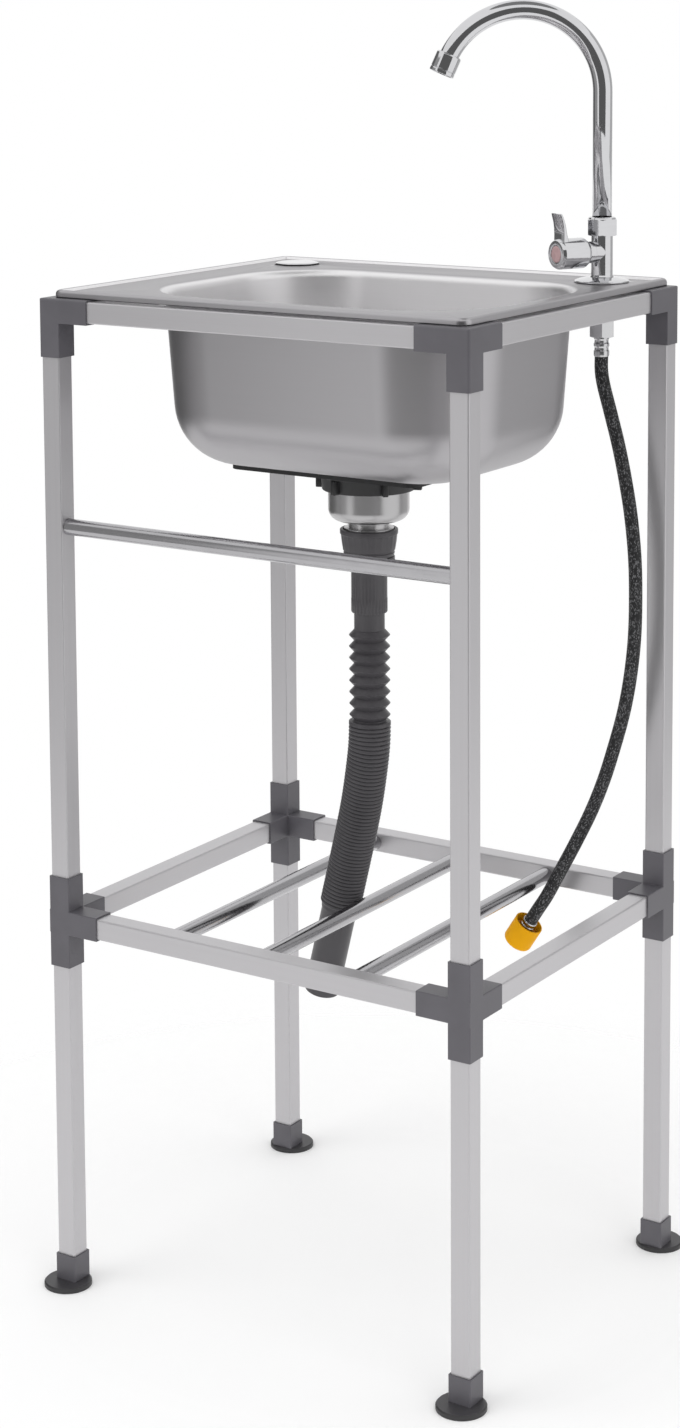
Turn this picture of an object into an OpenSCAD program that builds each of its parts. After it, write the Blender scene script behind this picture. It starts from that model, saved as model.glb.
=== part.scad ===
// Wash stand: a knock-down frame of square tubes in push-fit corner sockets,
// with a pressed steel sink, a swivel tap, a drain and two hoses.
// Origin: on the floor, in the middle of the four feet. +Z up, the front is -Y.

/* [Frame] */
// Distance between the axes of the left and right legs
leg_span_x = 424; // [406:1:500]
// Distance between the axes of the front and back legs
leg_span_y = 354; // [346:1:440]
// Height of the frame's top faces, where the sink rests
frame_top = 920; // [880:1:1000]
// Height of the axes of the shelf's tubes
shelf_z = 347; // [330:1:370]
// Outer width of the square tubes
tube_w = 19; // [16:0.5:22]
// Wall of the square tubes
tube_wall = 1; // [0.7:0.1:1.5]
// Corner radius of the square tubes
tube_corner = 1.5; // [1:0.1:2.5]

/* [Corner sockets] */
// Wall of a socket around its tube
socket_wall = 1.4; // [1:0.1:2]
// Gap between a tube and its socket, on each side
socket_fit = 0.1; // [0.05:0.01:0.3]
// Reach of a socket's arm, from the corner's axis
arm_reach = 42; // [34:1:50]
// Radius of the outer edges of a corner socket
socket_edge = 2.5; // [1:0.1:3]

/* [Feet] */
// Diameter of a foot's disc
foot_disc_d = 44; // [38:1:54]
// Thickness of a foot's disc
foot_disc_t = 4.5; // [3:0.5:6]
// Distance of a foot's disc out from its leg's axis
foot_offset = 7.5; // [0:0.5:9]
// Height of a foot
foot_h = 28.5; // [22:0.5:36]
// Thickness of a foot under its tube
foot_sole = 6; // [5:0.5:8]

/* [Rods] */
// Diameter of the towel bar
towel_bar_d = 15; // [10:0.5:18]
// Height of the towel bar's axis
towel_bar_z = 713; // [640:1:730]
// Diameter of the shelf's rods
rod_d = 15; // [10:0.5:16]
// Distance between the shelf's rods
rod_gap = 97; // [90:1:105]
// Wall of the round bars
rod_wall = 1; // [0.7:0.1:1.5]

/* [Sink] */
// Distance of the rim in from the frame's outer faces
sink_inset = 8; // [5:0.5:9]
// How much further the sink reaches at the back
sink_back = 8; // [0:1:10]
// Corner radius of the deck inside the rim's bead
deck_corner = 1; // [0.5:0.5:6]
// Width of the rim's rolled bead
bead_w = 9; // [7:0.5:12]
// Height of the rim's rolled bead
bead_h = 6.5; // [5:0.5:9]
// Radius of the bead's outer edge
bead_edge = 2.5; // [1.5:0.1:3.5]
// Height of the bead above the deck
bead_step = 2.3; // [1.5:0.1:3]
// Thickness of the sink's sheet
sheet_t = 0.8; // [0.6:0.1:1.2]
// Offset of the bowl to the right of the middle
bowl_x = 11; // [0:1:14]
// Offset of the bowl to the front of the middle
bowl_front = 13; // [8:1:16]
// Distance from the sink's side in to the bowl's wall, where the deck is narrow
deck_side = 33; // [30:1:40]
// Distance from the sink's front in to the bowl's wall
deck_front = 40; // [38:1:50]
// Corner radius of the bowl's wall at the top
bowl_corner = 86; // [70:1:100]
// Height of the bowl inside, from the deck to its floor
bowl_h = 158; // [140:1:165]
// Radius of the bend from the bowl's wall to its floor
bowl_bend = 56; // [30:1:60]
// Radius of the bend from the deck down into the bowl
lip_bend = 9; // [5:0.5:12]
// Lean of the bowl's wall from upright, in degrees
bowl_draft = 4.2; // [1:0.1:5]

/* [Deck holes] */
// Distance of each deck hole in from the side of the sink
hole_side = 47; // [44:1:50]
// Distance of the deck holes in from the back of the sink
hole_back = 46; // [44:1:48]
// Diameter of the tap's hole
tap_hole_d = 22; // [20:0.5:28]
// Diameter of the spare hole under its cover
spare_hole_d = 34; // [30:0.5:36]
// Diameter of the spare hole's cover
cover_d = 42; // [39:0.5:46]
// Thickness of the cover's disc
cover_t = 2; // [1.5:0.1:3]
// Depth of the cover's plug below its disc
cover_plug_h = 9; // [6:0.5:14]
// Wall of the cover's plug
cover_plug_wall = 2; // [1.5:0.1:3]

/* [Sound pad] */
// Width of the pad under the bowl
pad_w = 200; // [180:1:216]
// Depth of the pad, front to back
pad_d = 134; // [120:1:140]
// Thickness of the pad
pad_t = 5; // [2:0.5:7]
// Corner radius of the pad
pad_corner = 12; // [6:1:20]
// Offset of the pad to the right of the middle
pad_x = 2; // [0:1:8]

/* [Drain] */
// Diameter of the drain's flange in the bowl
drain_flange_d = 110; // [104:1:114]
// Outer diameter of the drain cup
cup_d = 74; // [68:1:78]
// Depth of the drain cup below the bowl's floor
cup_h = 53; // [44:1:60]
// Radius of the drain cup's lower edge
cup_bend = 11; // [6:1:14]
// Outer diameter of the drain cup's threaded neck
neck_d = 40; // [36:0.5:44]
// Length of the drain cup's threaded neck
neck_h = 26; // [22:1:30]
// Wall of the drain cup
cup_wall = 1.2; // [1:0.1:1.8]
// Diameter of the rubber gasket under the bowl
gasket_d = 98; // [92:1:106]
// Thickness of the rubber gasket
gasket_t = 3.5; // [2.5:0.5:5]
// Diameter of the lock nut's flange
lock_flange_d = 98; // [92:1:104]
// Diameter of the lock nut's body, at its top
lock_body_d = 88; // [85:1:92]
// Height of the lock nut
lock_h = 19.5; // [14:0.5:22]
// Height of the lock nut's flange
lock_flange_h = 6; // [4:0.5:8]
// Number of lugs on the lock nut
lock_lugs = 6; // [4:1:12]
// Width of the lock nut's lugs
lug_w = 5; // [4:0.5:10]
// How far the lugs stand out from the lock nut's body
lug_out = 5; // [3:0.5:6]
// How far round the lock nut is turned, in degrees
lock_turn = 21; // [0:1:60]
// Length of the neck that shows above the coupling nut
neck_show = 8; // [4:1:12]
// Diameter of the coupling nut
coupling_d = 53; // [50:1:58]
// Height of the coupling nut
coupling_h = 25; // [22:1:28]
// Number of grip ribs on the coupling nut
coupling_ribs = 12; // [8:1:16]

/* [Strainer basket] */
// Outer diameter of the basket's cup
basket_d = 64; // [58:1:66]
// Diameter of the basket's rim
basket_rim_d = 86; // [82:1:92]
// Depth of the basket
basket_h = 36; // [30:1:38]
// Thickness of the basket's sheet
basket_t = 0.8; // [0.6:0.1:1.2]
// Diameter of the holes in the basket
basket_hole_d = 4; // [3:0.5:4.5]
// Diameter of the basket's knob
knob_d = 16; // [12:1:20]
// Diameter of the rubber stopper under the basket
stopper_d = 48; // [44:1:54]
// Thickness of the rubber stopper
stopper_t = 5; // [3:0.5:6]

/* [Drain hose] */
// Outer diameter of the hose's top collar, under the nut
cuff_collar_d = 47; // [44:1:50]
// Outer diameter of the hose's upper cuff
cuff_d = 33; // [30:0.5:36]
// Outer diameter of the cuff's lower step
cuff_step_d = 28; // [26:0.5:30]
// Height of the top collar
cuff_ring_h = 6; // [4:0.5:8]
// Length of the upper cuff below its collar
cuff_len = 46; // [38:1:50]
// Length of the cuff's lower step
cuff_step_len = 16; // [12:1:20]
// Number of wide folds in the hose
fold_count = 8; // [4:1:12]
// Distance between the wide folds
fold_pitch = 10.6; // [8:0.1:12]
// Diameter over the wide folds
fold_d = 38; // [34:0.5:39]
// Diameter between the wide folds
fold_root_d = 28; // [26:0.5:30]
// Number of fine ribs in the hose
rib_count = 50; // [20:1:60]
// Diameter over the fine ribs
rib_d = 39; // [34:0.5:39.5]
// Diameter between the fine ribs
rib_root_d = 35.5; // [32:0.5:36]
// Diameter of the hose's bore
hose_bore_d = 23; // [18:0.5:24]
// Diameter of the tail cuff
tail_d = 33; // [28:0.5:34]
// Diameter of the tail cuff's bore
tail_bore_d = 28; // [22:0.5:29]
// Length of the tail cuff
tail_len = 90; // [60:1:100]

/* [Tap] */
// Diameter of the tap's flange
flange_d = 50; // [44:1:54]
// Height of the tap's flange
flange_h = 5; // [4:0.5:7]
// Diameter of the tap's body
tap_body_d = 20; // [18.5:0.5:21]
// Height of the valve's axis above the deck
valve_h = 28; // [26:0.5:34]
// Direction of the valve, in degrees from +X towards +Y
valve_turn = 243; // [225:1:255]
// Reach of the valve's housing, from the tap's axis
housing_reach = 19; // [17:0.5:22]
// Diameter of the valve's housing
housing_d = 20; // [19:0.5:22]
// Diameter of the water way in the tap
water_d = 12; // [10:0.5:13]
// Diameter of the tap's threaded shank
shank_d = 18; // [15:0.1:19]
// Length of the shank below the deck
shank_len = 46.5; // [40:0.5:54]
// Width of the nut under the deck across its corners
deck_nut_w = 32; // [28:1:38]
// Height of the tap's body above the deck
tap_body_h = 46; // [44:1:52]
// Height of the spout's hexagon nut
spout_nut_h = 17; // [14:0.5:20]
// Width of the spout's nut across its corners
spout_nut_w = 30; // [29:0.5:34]
// Diameter of the collar on the tap's body inside the spout's nut
nut_seat_d = 22; // [21:0.5:23]

/* [Spout] */
// Outer diameter of the spout's tube
spout_d = 18; // [15:0.5:18]
// Wall of the spout's tube
spout_wall = 1.2; // [1:0.1:1.6]
// Radius of the spout's arch
arch_r = 74.5; // [60:0.5:80]
// Height of the arch's centre above the deck
arch_h = 173.5; // [150:0.5:220]
// Angle of the arch, in degrees from upright over the top
arch_turn = 156; // [140:1:180]
// Direction of the spout, in degrees from +X towards +Y
spout_turn = 220.5; // [200:0.5:240]
// Outer diameter of the aerator's housing
aerator_d = 23.5; // [20:0.5:25]
// Length of the aerator's housing
aerator_len = 19; // [16:0.5:24]
// Wall of the aerator's housing
aerator_wall = 1.6; // [1.2:0.1:2]

/* [Handle] */
// Diameter of the handle's drum
drum_d = 28; // [26:0.5:30]
// Length of the handle's drum
drum_len = 31.5; // [28:0.5:34]
// Height of the lever above the valve's axis
lever_h = 38; // [32:1:44]
// Width of the lever
lever_w = 16; // [10:0.5:16]
// Thickness of the lever
lever_t = 3; // [2:0.1:4]
// How far the lever's top leans out
lever_flare = 4; // [0:0.5:8]
// Diameter of the coloured button on the handle
button_d = 17; // [12:0.5:18]
// Diameter of the valve's spindle
spindle_d = 8; // [6:0.5:9]

/* [Supply hose] */
// Width across the corners of the hexagon nuts
hose_nut_w = 25; // [23:0.5:28]
// Height of the inlet's nut
inlet_nut_h = 17; // [14:0.5:20]
// Outer diameter of the crimped ferrules
ferrule_d = 14.5; // [13.5:0.5:16]
// Length of the ferrule under the inlet's nut
inlet_ferrule_len = 18; // [14:0.5:24]
// Length of the ferrule at the hose's free end
end_ferrule_len = 10; // [8:0.5:14]
// Outer diameter of the braided hose
braid_d = 12.5; // [11:0.5:13]
// Height of the nut at the hose's free end
end_nut_h = 15; // [12:0.5:18]
// Length of the protective cap
cap_len = 25; // [24:0.5:34]
// Wall of the protective cap
cap_wall = 1.2; // [0.8:0.1:2]
// How far the cap reaches back over the ferrule
cap_over = 7; // [2:0.5:7]

/* [Hidden] */

// Gap that leaves a piece seated on its neighbour
seat = 0.3;
// Radial running gap of a piece that turns in another
run_gap = 0.1;
// Overlap of cuts through a face, and a hair's breadth that joins flat sections
cut = 1;
hair = 0.01;
// Facets of round solids
$fn = 64;

// Colours
steel_grey = [0.70, 0.70, 0.72];
socket_grey = [0.32, 0.31, 0.34];
drain_grey = [0.25, 0.25, 0.26];
chrome_grey = [0.82, 0.82, 0.84];
rubber_black = [0.10, 0.10, 0.11];
braid_black = [0.14, 0.14, 0.15];
brass_gold = [0.80, 0.62, 0.28];
cap_yellow = [0.88, 0.65, 0.05];
button_pink = [0.85, 0.62, 0.62];

// Frame
leg_x = leg_span_x / 2;
leg_y = leg_span_y / 2;
socket_w = tube_w + 2 * (socket_wall + socket_fit);
core = socket_w / 2;
stop = core + seat;
top_z = frame_top - core;
rail_face = tube_w / 2;
// Corner radius of the sockets' arms and of the feet, and of the tubes inside
arm_edge = 1;
tube_inner_corner = max(tube_corner - tube_wall, 0.3);

// Sink: sizes and heights
sink_w = leg_span_x + socket_w - 2 * sink_inset;
sink_d = leg_span_y + socket_w - 2 * sink_inset + sink_back;
sink_y = sink_back / 2;
rim_corner = bead_w + deck_corner;
rim_z = frame_top + seat;
deck_top = rim_z + bead_h - bead_step;
deck_low = deck_top - sheet_t;
floor_in = deck_top - bowl_h;
floor_out = floor_in - sheet_t;
bowl_y = sink_y - bowl_front;
// Width and depth of the bowl at the top of its wall
bowl_w = sink_w - 2 * (deck_side + bowl_x);
bowl_d = sink_d - 2 * (deck_front + bowl_front);
// Half sizes of the rectangle that the bowl's round corners go round
core_x = bowl_w / 2 - bowl_corner;
core_y = bowl_d / 2 - bowl_corner;
lip_z = deck_top - lip_bend;
bend_z = floor_in + bowl_bend;
bend_r = bowl_corner - (lip_z - bend_z) * tan(bowl_draft) - bowl_bend / cos(bowl_draft);
opening_r = bowl_corner + lip_bend;
tap_x = sink_w / 2 - hole_side;
tap_y = sink_y + sink_d / 2 - hole_back;

// Drain: heights
drain_hole_d = cup_d + 2 * run_gap + 2;
flange_t = cup_wall;
flange_top = floor_in + seat + flange_t;
cup_bottom = floor_in - cup_h;
gasket_top = floor_out - seat;
lock_top = gasket_top - gasket_t - seat;
neck_low = cup_bottom - neck_h;
neck_wall = cup_wall + 1;
coupling_low = cup_bottom - neck_show - coupling_h;
// Plug of the hose's cuff, which the coupling nut holds against the neck
cuff_plug_d = cuff_collar_d - 5;
cuff_top = neck_low - seat;
ring_low = coupling_low - seat - cuff_ring_h;
cuff_low = ring_low - cuff_len;
hose_top = cuff_low - cuff_step_len;

// Basket: heights
basket_rim_z = flange_top + seat;
basket_low = basket_rim_z - basket_h;
stopper_low = cup_bottom + cup_wall + seat;

// Route of the drain hose, from the lower end of its cuff
drain_route = [
    [0, 0, 0], [0, 0, -20], [0, 0, -40], [0, 0, -60], [0, 0, -82], [-1, 0, -109],
    [-6, 2, -138], [-13, 5, -168], [-22, 8, -200], [-31, 10, -232], [-36, 10.5, -251],
    [-41, 11, -270]
];
// Route of the supply hose, from the lower end of the inlet's ferrule
supply_route = [
    [0, 0, 0], [0, 0, -13], [2.5, 0, -27], [9.5, 0, -51], [18, 0, -81], [25.5, 0, -114],
    [31.5, 0, -148], [35.5, 0, -186], [36.5, 0, -224], [35.5, 0, -260], [31.5, 0, -296],
    [25, 0, -330], [15.5, 0, -364], [4.5, 0, -398], [-9, 0, -431], [-26, 0, -465],
    [-41, 0, -493], [-55, 0, -519], [-64, 0, -533], [-73, 0, -547]
];

// Tap
tap_top = deck_top + tap_body_h;
valve_z = deck_top + valve_h;
nut_over = 3;
nut_low = tap_top - nut_over;
nut_top = nut_low + spout_nut_h;
arch_z = deck_top + arch_h;
shank_low = deck_low - shank_len;
// Depth of the spout in its nut, and the ring on the spout that the nut holds
spout_in = 8;
spout_low = nut_top - spout_in;
spout_ring_h = 3;
// How far the spout's end goes into the aerator's housing
tip_in = 5;
housing_wall = 2.5;
cartridge_d = housing_d - 2 * housing_wall;
cartridge_start = 5;
drum_start = housing_reach + seat;
drum_end = drum_start + drum_len;
button_t = 1.6;
button_in = 1.5;

// Ends of the supply hose
inlet_over = 14;
inlet_nut_top = shank_low + inlet_over;
inlet_nut_low = inlet_nut_top - inlet_nut_h;
ferrule_low = inlet_nut_low - inlet_ferrule_len;
ferrule_bore_d = braid_d - 4;
// Web at the foot of the end nut, and the stem of the ferrule that turns in it
nut_web = 2.5;
end_nut_start = end_ferrule_len + seat;
stem_d = braid_d - 2;
stem_head_d = stem_d + 4;
stem_head_h = 2.5;
cap_in_d = hose_nut_w + 2 * seat;
cap_out_d = cap_in_d + 2 * cap_wall;

// ---------- Shapes used by several pieces ----------

module rounded_square(w, r) {
    square([w - 2 * r, w], center = true);
    square([w, w - 2 * r], center = true);
    for (i = [-1, 1], j = [-1, 1]) translate([i * (w / 2 - r), j * (w / 2 - r)]) circle(r);
}

module rounded_rect(w, d, r) {
    square([w - 2 * r, d], center = true);
    square([w, d - 2 * r], center = true);
    for (i = [-1, 1], j = [-1, 1]) translate([i * (w / 2 - r), j * (d / 2 - r)]) circle(r);
}

// Square tube along +Z, from the origin
module square_tube(len) {
    linear_extrude(len) difference() {
        rounded_square(tube_w, tube_corner);
        rounded_square(tube_w - 2 * tube_wall, tube_inner_corner);
    }
}

// Round tube along +Z, from the origin
module round_tube(d, wall, len) {
    difference() {
        cylinder(d = d, h = len);
        translate([0, 0, -cut]) cylinder(d = d - 2 * wall, h = len + 2 * cut);
    }
}

// Turns +Z to point along +X or +Y
module along_x() rotate([0, 90, 0]) children();
module along_y() rotate([-90, 0, 0]) children();

// Sweeps a section around a rectangle with round corners; the section's x is the distance
// out from the rectangle, which is 2 * hx wide and 2 * hy deep
module around(hx, hy) {
    for (k = [0:3]) {
        sx = (k == 0 || k == 3) ? 1 : -1;
        sy = (k < 2) ? 1 : -1;
        translate([sx * hx, sy * hy, 0]) rotate([0, 0, k * 90]) rotate_extrude(angle = 90) children();
    }
    for (s = [-1, 1]) {
        translate([s * hx, s * hy, 0]) rotate([0, 0, s > 0 ? 0 : 180]) rotate([90, 0, 0])
            linear_extrude(2 * hy) children();
        translate([-s * hx, s * hy, 0]) rotate([0, 0, s > 0 ? 90 : 270]) rotate([90, 0, 0])
            linear_extrude(2 * hx) children();
    }
}

// ---------- Frame ----------

// Puts the +X, +Y quarter of the frame's corner at one leg; sx and sy are 1 or -1
module at_corner(sx, sy) {
    translate([sx * leg_x, sy * leg_y, 0]) mirror([sx > 0 ? 1 : 0, 0, 0]) mirror([0, sy > 0 ? 1 : 0, 0])
        children();
}

module leg_upper(sx, sy) {
    color(steel_grey) translate([sx * leg_x, sy * leg_y, shelf_z + stop])
        square_tube(top_z - shelf_z - 2 * stop);
}

module leg_lower(sx, sy) {
    color(steel_grey) translate([sx * leg_x, sy * leg_y, foot_sole + seat])
        square_tube(shelf_z - stop - foot_sole - seat);
}

module rail_x(sy, z) {
    color(steel_grey) translate([-leg_x + stop, sy * leg_y, z]) along_x()
        square_tube(leg_span_x - 2 * stop);
}

module rail_y(sx, z) {
    color(steel_grey) translate([sx * leg_x, -leg_y + stop, z]) along_y()
        square_tube(leg_span_y - 2 * stop);
}

// Block whose edges between its three outer faces, at -X, -Y and +Z, are round
module outer_block(down) {
    reach = arm_reach + core;
    height = down + core;
    module face(a, b) {
        difference() {
            square([a, b]);
            square(socket_edge);
        }
        intersection() {
            translate([socket_edge, socket_edge]) circle(socket_edge);
            square(socket_edge);
        }
    }
    translate([-core, -core, -down]) intersection() {
        linear_extrude(height) face(reach, reach);
        translate([0, reach, height]) rotate([90, 0, 0]) mirror([0, 1, 0])
            linear_extrude(reach) face(reach, height);
        translate([0, 0, height]) rotate([90, 0, 90]) mirror([0, 1, 0])
            linear_extrude(reach) face(reach, height);
    }
}

module socket_bore(len) {
    translate([0, 0, core]) linear_extrude(len - core + cut)
        rounded_square(tube_w + 2 * socket_fit, tube_corner);
}

module socket_arm() {
    translate([0, 0, -core]) linear_extrude(arm_reach + core) rounded_square(socket_w, arm_edge);
}

module top_corner(sx, sy) {
    color(socket_grey) translate([0, 0, top_z]) at_corner(sx, sy) difference() {
        intersection() {
            union() {
                rotate([180, 0, 0]) translate([0, 0, -core]) linear_extrude(arm_reach + core)
                    square(socket_w, center = true);
                translate([-core, 0, 0]) along_x() linear_extrude(arm_reach + core)
                    square(socket_w, center = true);
                translate([0, -core, 0]) along_y() linear_extrude(arm_reach + core)
                    square(socket_w, center = true);
            }
            outer_block(arm_reach);
        }
        rotate([180, 0, 0]) socket_bore(arm_reach);
        along_x() socket_bore(arm_reach);
        along_y() socket_bore(arm_reach);
    }
}

module shelf_corner(sx, sy) {
    color(socket_grey) translate([0, 0, shelf_z]) at_corner(sx, sy) difference() {
        union() {
            translate([0, 0, -arm_reach]) linear_extrude(2 * arm_reach)
                rounded_square(socket_w, arm_edge);
            along_x() socket_arm();
            along_y() socket_arm();
        }
        socket_bore(arm_reach);
        rotate([180, 0, 0]) socket_bore(arm_reach);
        along_x() socket_bore(arm_reach);
        along_y() socket_bore(arm_reach);
    }
}

module foot(sx, sy) {
    disc_edge = 1.2;
    color(socket_grey) translate([sx * leg_x, sy * leg_y, 0]) difference() {
        union() {
            linear_extrude(foot_h) rounded_square(socket_w, arm_edge);
            translate([0, sy * foot_offset, 0]) {
                cylinder(d = foot_disc_d, h = foot_disc_t - disc_edge);
                translate([0, 0, foot_disc_t - disc_edge]) cylinder(d1 = foot_disc_d,
                    d2 = foot_disc_d - 2 * disc_edge, h = disc_edge);
            }
        }
        translate([0, 0, foot_sole]) linear_extrude(foot_h)
            rounded_square(tube_w + 2 * socket_fit, tube_corner);
    }
}

// ---------- Bars ----------

module towel_bar() {
    color(chrome_grey) translate([-leg_x + rail_face, -leg_y, towel_bar_z]) along_x()
        round_tube(towel_bar_d, rod_wall, leg_span_x - tube_w);
}

module shelf_rod(i) {
    color(chrome_grey) translate([i * rod_gap, -leg_y + rail_face, shelf_z]) along_y()
        round_tube(rod_d, rod_wall, leg_span_y - tube_w);
}

// ---------- Sink ----------

// Section of the space in the bowl, made larger by t on every side
module bowl_section(t) {
    wall_top = lip_z + hair;
    lean = bowl_draft;
    intersection() {
        union() {
            polygon([
                [0, floor_in - t],
                [bend_r, floor_in - t],
                [bend_r, bend_z],
                [bend_r + (bowl_bend + t) * cos(lean), bend_z - (bowl_bend + t) * sin(lean)],
                [bowl_corner + t / cos(lean), wall_top],
                [0, wall_top]
            ]);
            translate([bend_r, bend_z]) circle(bowl_bend + t, $fn = 128);
        }
        translate([0, floor_in - t]) square([2 * bowl_corner, wall_top - floor_in + t]);
    }
    difference() {
        translate([0, lip_z]) square([opening_r, lip_bend - t]);
        translate([opening_r, lip_z]) circle(lip_bend - t);
    }
}

// Section of the bowl's sheet, from the flat of its floor to the deck
module bowl_sheet() {
    difference() {
        bowl_section(sheet_t);
        bowl_section(0);
    }
    translate([opening_r - hair, deck_low]) square([2 * hair, sheet_t]);
}

// Section of the rolled rim: an upside-down channel, its outer leg down to the frame, and
// the strip of deck up to the middle of the rim's corner
module rim_sheet(r) {
    edge_x = r - bead_edge;
    edge_z = rim_z + bead_h - bead_edge;
    in_x = r - bead_w;
    difference() {
        union() {
            translate([in_x, edge_z]) square([bead_w - bead_edge, bead_edge]);
            translate([edge_x, rim_z]) square([bead_edge, bead_h - bead_edge]);
            translate([edge_x, edge_z]) circle(bead_edge);
            translate([in_x, deck_low]) square([sheet_t, rim_z + bead_h - deck_low - sheet_t]);
            translate([0, deck_low]) square([in_x + hair, sheet_t]);
        }
        translate([in_x + sheet_t, rim_z - cut])
            square([bead_w - bead_edge - sheet_t, bead_h + cut - sheet_t]);
        translate([edge_x - hair, rim_z - cut])
            square([bead_edge - sheet_t + hair, bead_h - bead_edge + cut]);
        translate([edge_x, edge_z]) circle(bead_edge - sheet_t);
    }
}

module sink_bowl() {
    color(steel_grey) difference() {
        union() {
            translate([bowl_x, bowl_y, 0]) {
                around(core_x, core_y) bowl_sheet();
                translate([-core_x, -core_y, floor_out]) cube([2 * core_x, 2 * core_y, sheet_t]);
            }
            translate([0, 0, deck_low]) linear_extrude(sheet_t) difference() {
                translate([0, sink_y])
                    square([sink_w - 2 * rim_corner, sink_d - 2 * rim_corner], center = true);
                translate([bowl_x, bowl_y])
                    rounded_rect(2 * (core_x + opening_r), 2 * (core_y + opening_r), opening_r);
            }
            translate([0, sink_y, 0])
                around(sink_w / 2 - rim_corner, sink_d / 2 - rim_corner) rim_sheet(rim_corner);
        }
        translate([bowl_x, bowl_y, floor_out - cut]) cylinder(d = drain_hole_d, h = sheet_t + 2 * cut);
        translate([tap_x, tap_y, deck_low - cut]) cylinder(d = tap_hole_d, h = sheet_t + 2 * cut);
        translate([-tap_x, tap_y, deck_low - cut]) cylinder(d = spare_hole_d, h = sheet_t + 2 * cut);
    }
}

module sound_pad() {
    color(rubber_black) translate([0, 0, floor_out - seat - pad_t]) difference() {
        translate([pad_x, bowl_y, 0]) linear_extrude(pad_t) rounded_rect(pad_w, pad_d, pad_corner);
        translate([bowl_x, bowl_y, -cut])
            cylinder(d = max(gasket_d, lock_flange_d) + 2 * seat, h = pad_t + 2 * cut);
    }
}

module tap_hole_cover() {
    plug_d = spare_hole_d - 2 * run_gap;
    edge = cover_t / 2;
    color(chrome_grey) translate([-tap_x, tap_y, deck_top + seat]) difference() {
        union() {
            cylinder(d = cover_d, h = cover_t - edge);
            translate([0, 0, cover_t - edge]) cylinder(d1 = cover_d, d2 = cover_d - 3 * edge, h = edge);
            translate([0, 0, -cover_plug_h]) cylinder(d = plug_d, h = cover_plug_h + cover_t / 2);
        }
        translate([0, 0, -cover_plug_h - cut])
            cylinder(d = plug_d - 2 * cover_plug_wall, h = cover_plug_h + cut);
    }
}

// ---------- Drain ----------

module at_drain(z) translate([bowl_x, bowl_y, z]) children();

// Section of a cup with a round lower edge, its floor at the origin
module cup_section(r, h, bend) {
    translate([0, bend]) square([r, h - bend]);
    square([r - bend, h]);
    translate([r - bend, bend]) circle(bend);
}

module drain_cup() {
    color(steel_grey) at_drain(cup_bottom) rotate_extrude() difference() {
        union() {
            cup_section(cup_d / 2, cup_h + seat + flange_t, cup_bend);
            translate([0, cup_h + seat]) square([drain_flange_d / 2, flange_t]);
            translate([0, -neck_h]) square([neck_d / 2, neck_h + cup_wall]);
        }
        translate([0, cup_wall]) cup_section(cup_d / 2 - cup_wall, cup_h + neck_h, cup_bend - cup_wall);
        translate([0, -neck_h - cut]) square([neck_d / 2 - neck_wall, neck_h + cup_wall + 2 * cut]);
    }
}

module drain_gasket() {
    color(rubber_black) at_drain(gasket_top - gasket_t)
        round_tube(gasket_d, (gasket_d - cup_d) / 2 - seat, gasket_t);
}

module drain_lock_nut() {
    taper = 3;
    color(drain_grey) at_drain(lock_top - lock_h) difference() {
        union() {
            cylinder(d1 = lock_body_d - taper, d2 = lock_body_d, h = lock_h);
            translate([0, 0, lock_h - lock_flange_h]) cylinder(d = lock_flange_d, h = lock_flange_h);
            for (i = [0 : lock_lugs - 1]) rotate([0, 0, lock_turn + i * 360 / lock_lugs])
                translate([lock_body_d / 2 - taper, -lug_w / 2, 0])
                    cube([taper + lug_out, lug_w, lock_h - lock_flange_h + cut]);
        }
        translate([0, 0, -cut]) cylinder(d = cup_d + 2 * run_gap, h = lock_h + 2 * cut);
    }
}

module strainer_basket() {
    r = basket_d / 2;
    post_d = 7;
    knob_h = 3;
    knob_low = basket_rim_z - 2 * knob_h;
    post_low = stopper_low + stopper_t;
    // Distance from the middle and number of holes, for each ring of them in the bottom
    bottom_rings = [[r - 20, 8], [r - 13, 14], [r - 6, 20]];
    side_rows = 2;
    row_holes = 16;
    row_gap = basket_h / 4;
    color(steel_grey) at_drain(0) {
        difference() {
            union() {
                translate([0, 0, basket_low]) round_tube(basket_d, basket_t, basket_h);
                translate([0, 0, basket_low]) cylinder(d = basket_d, h = basket_t);
                translate([0, 0, basket_rim_z])
                    round_tube(basket_rim_d, (basket_rim_d - basket_d) / 2 + basket_t, basket_t);
            }
            for (ring = bottom_rings, i = [0 : ring[1] - 1]) rotate([0, 0, i * 360 / ring[1]])
                translate([ring[0], 0, basket_low - cut])
                    cylinder(d = basket_hole_d, h = basket_t + 2 * cut, $fn = 24);
            for (row = [1 : side_rows], i = [0 : row_holes - 1])
                rotate([0, 0, (i + row / 2) * 360 / row_holes])
                    translate([r - 2 * cut, 0, basket_low + row_gap * row]) along_x()
                        cylinder(d = basket_hole_d, h = 4 * cut, $fn = 24);
        }
        translate([0, 0, post_low]) cylinder(d = post_d, h = knob_low - post_low);
        translate([0, 0, knob_low - knob_h / 2]) cylinder(d1 = post_d, d2 = knob_d, h = knob_h / 2);
        translate([0, 0, knob_low]) cylinder(d = knob_d, h = knob_h);
    }
}

module basket_stopper() {
    lip_t = 1.5;
    color(rubber_black) at_drain(stopper_low) {
        cylinder(d = stopper_d - 4 * lip_t, h = lip_t);
        translate([0, 0, lip_t]) cylinder(d = stopper_d, h = stopper_t - lip_t);
    }
}

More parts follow.
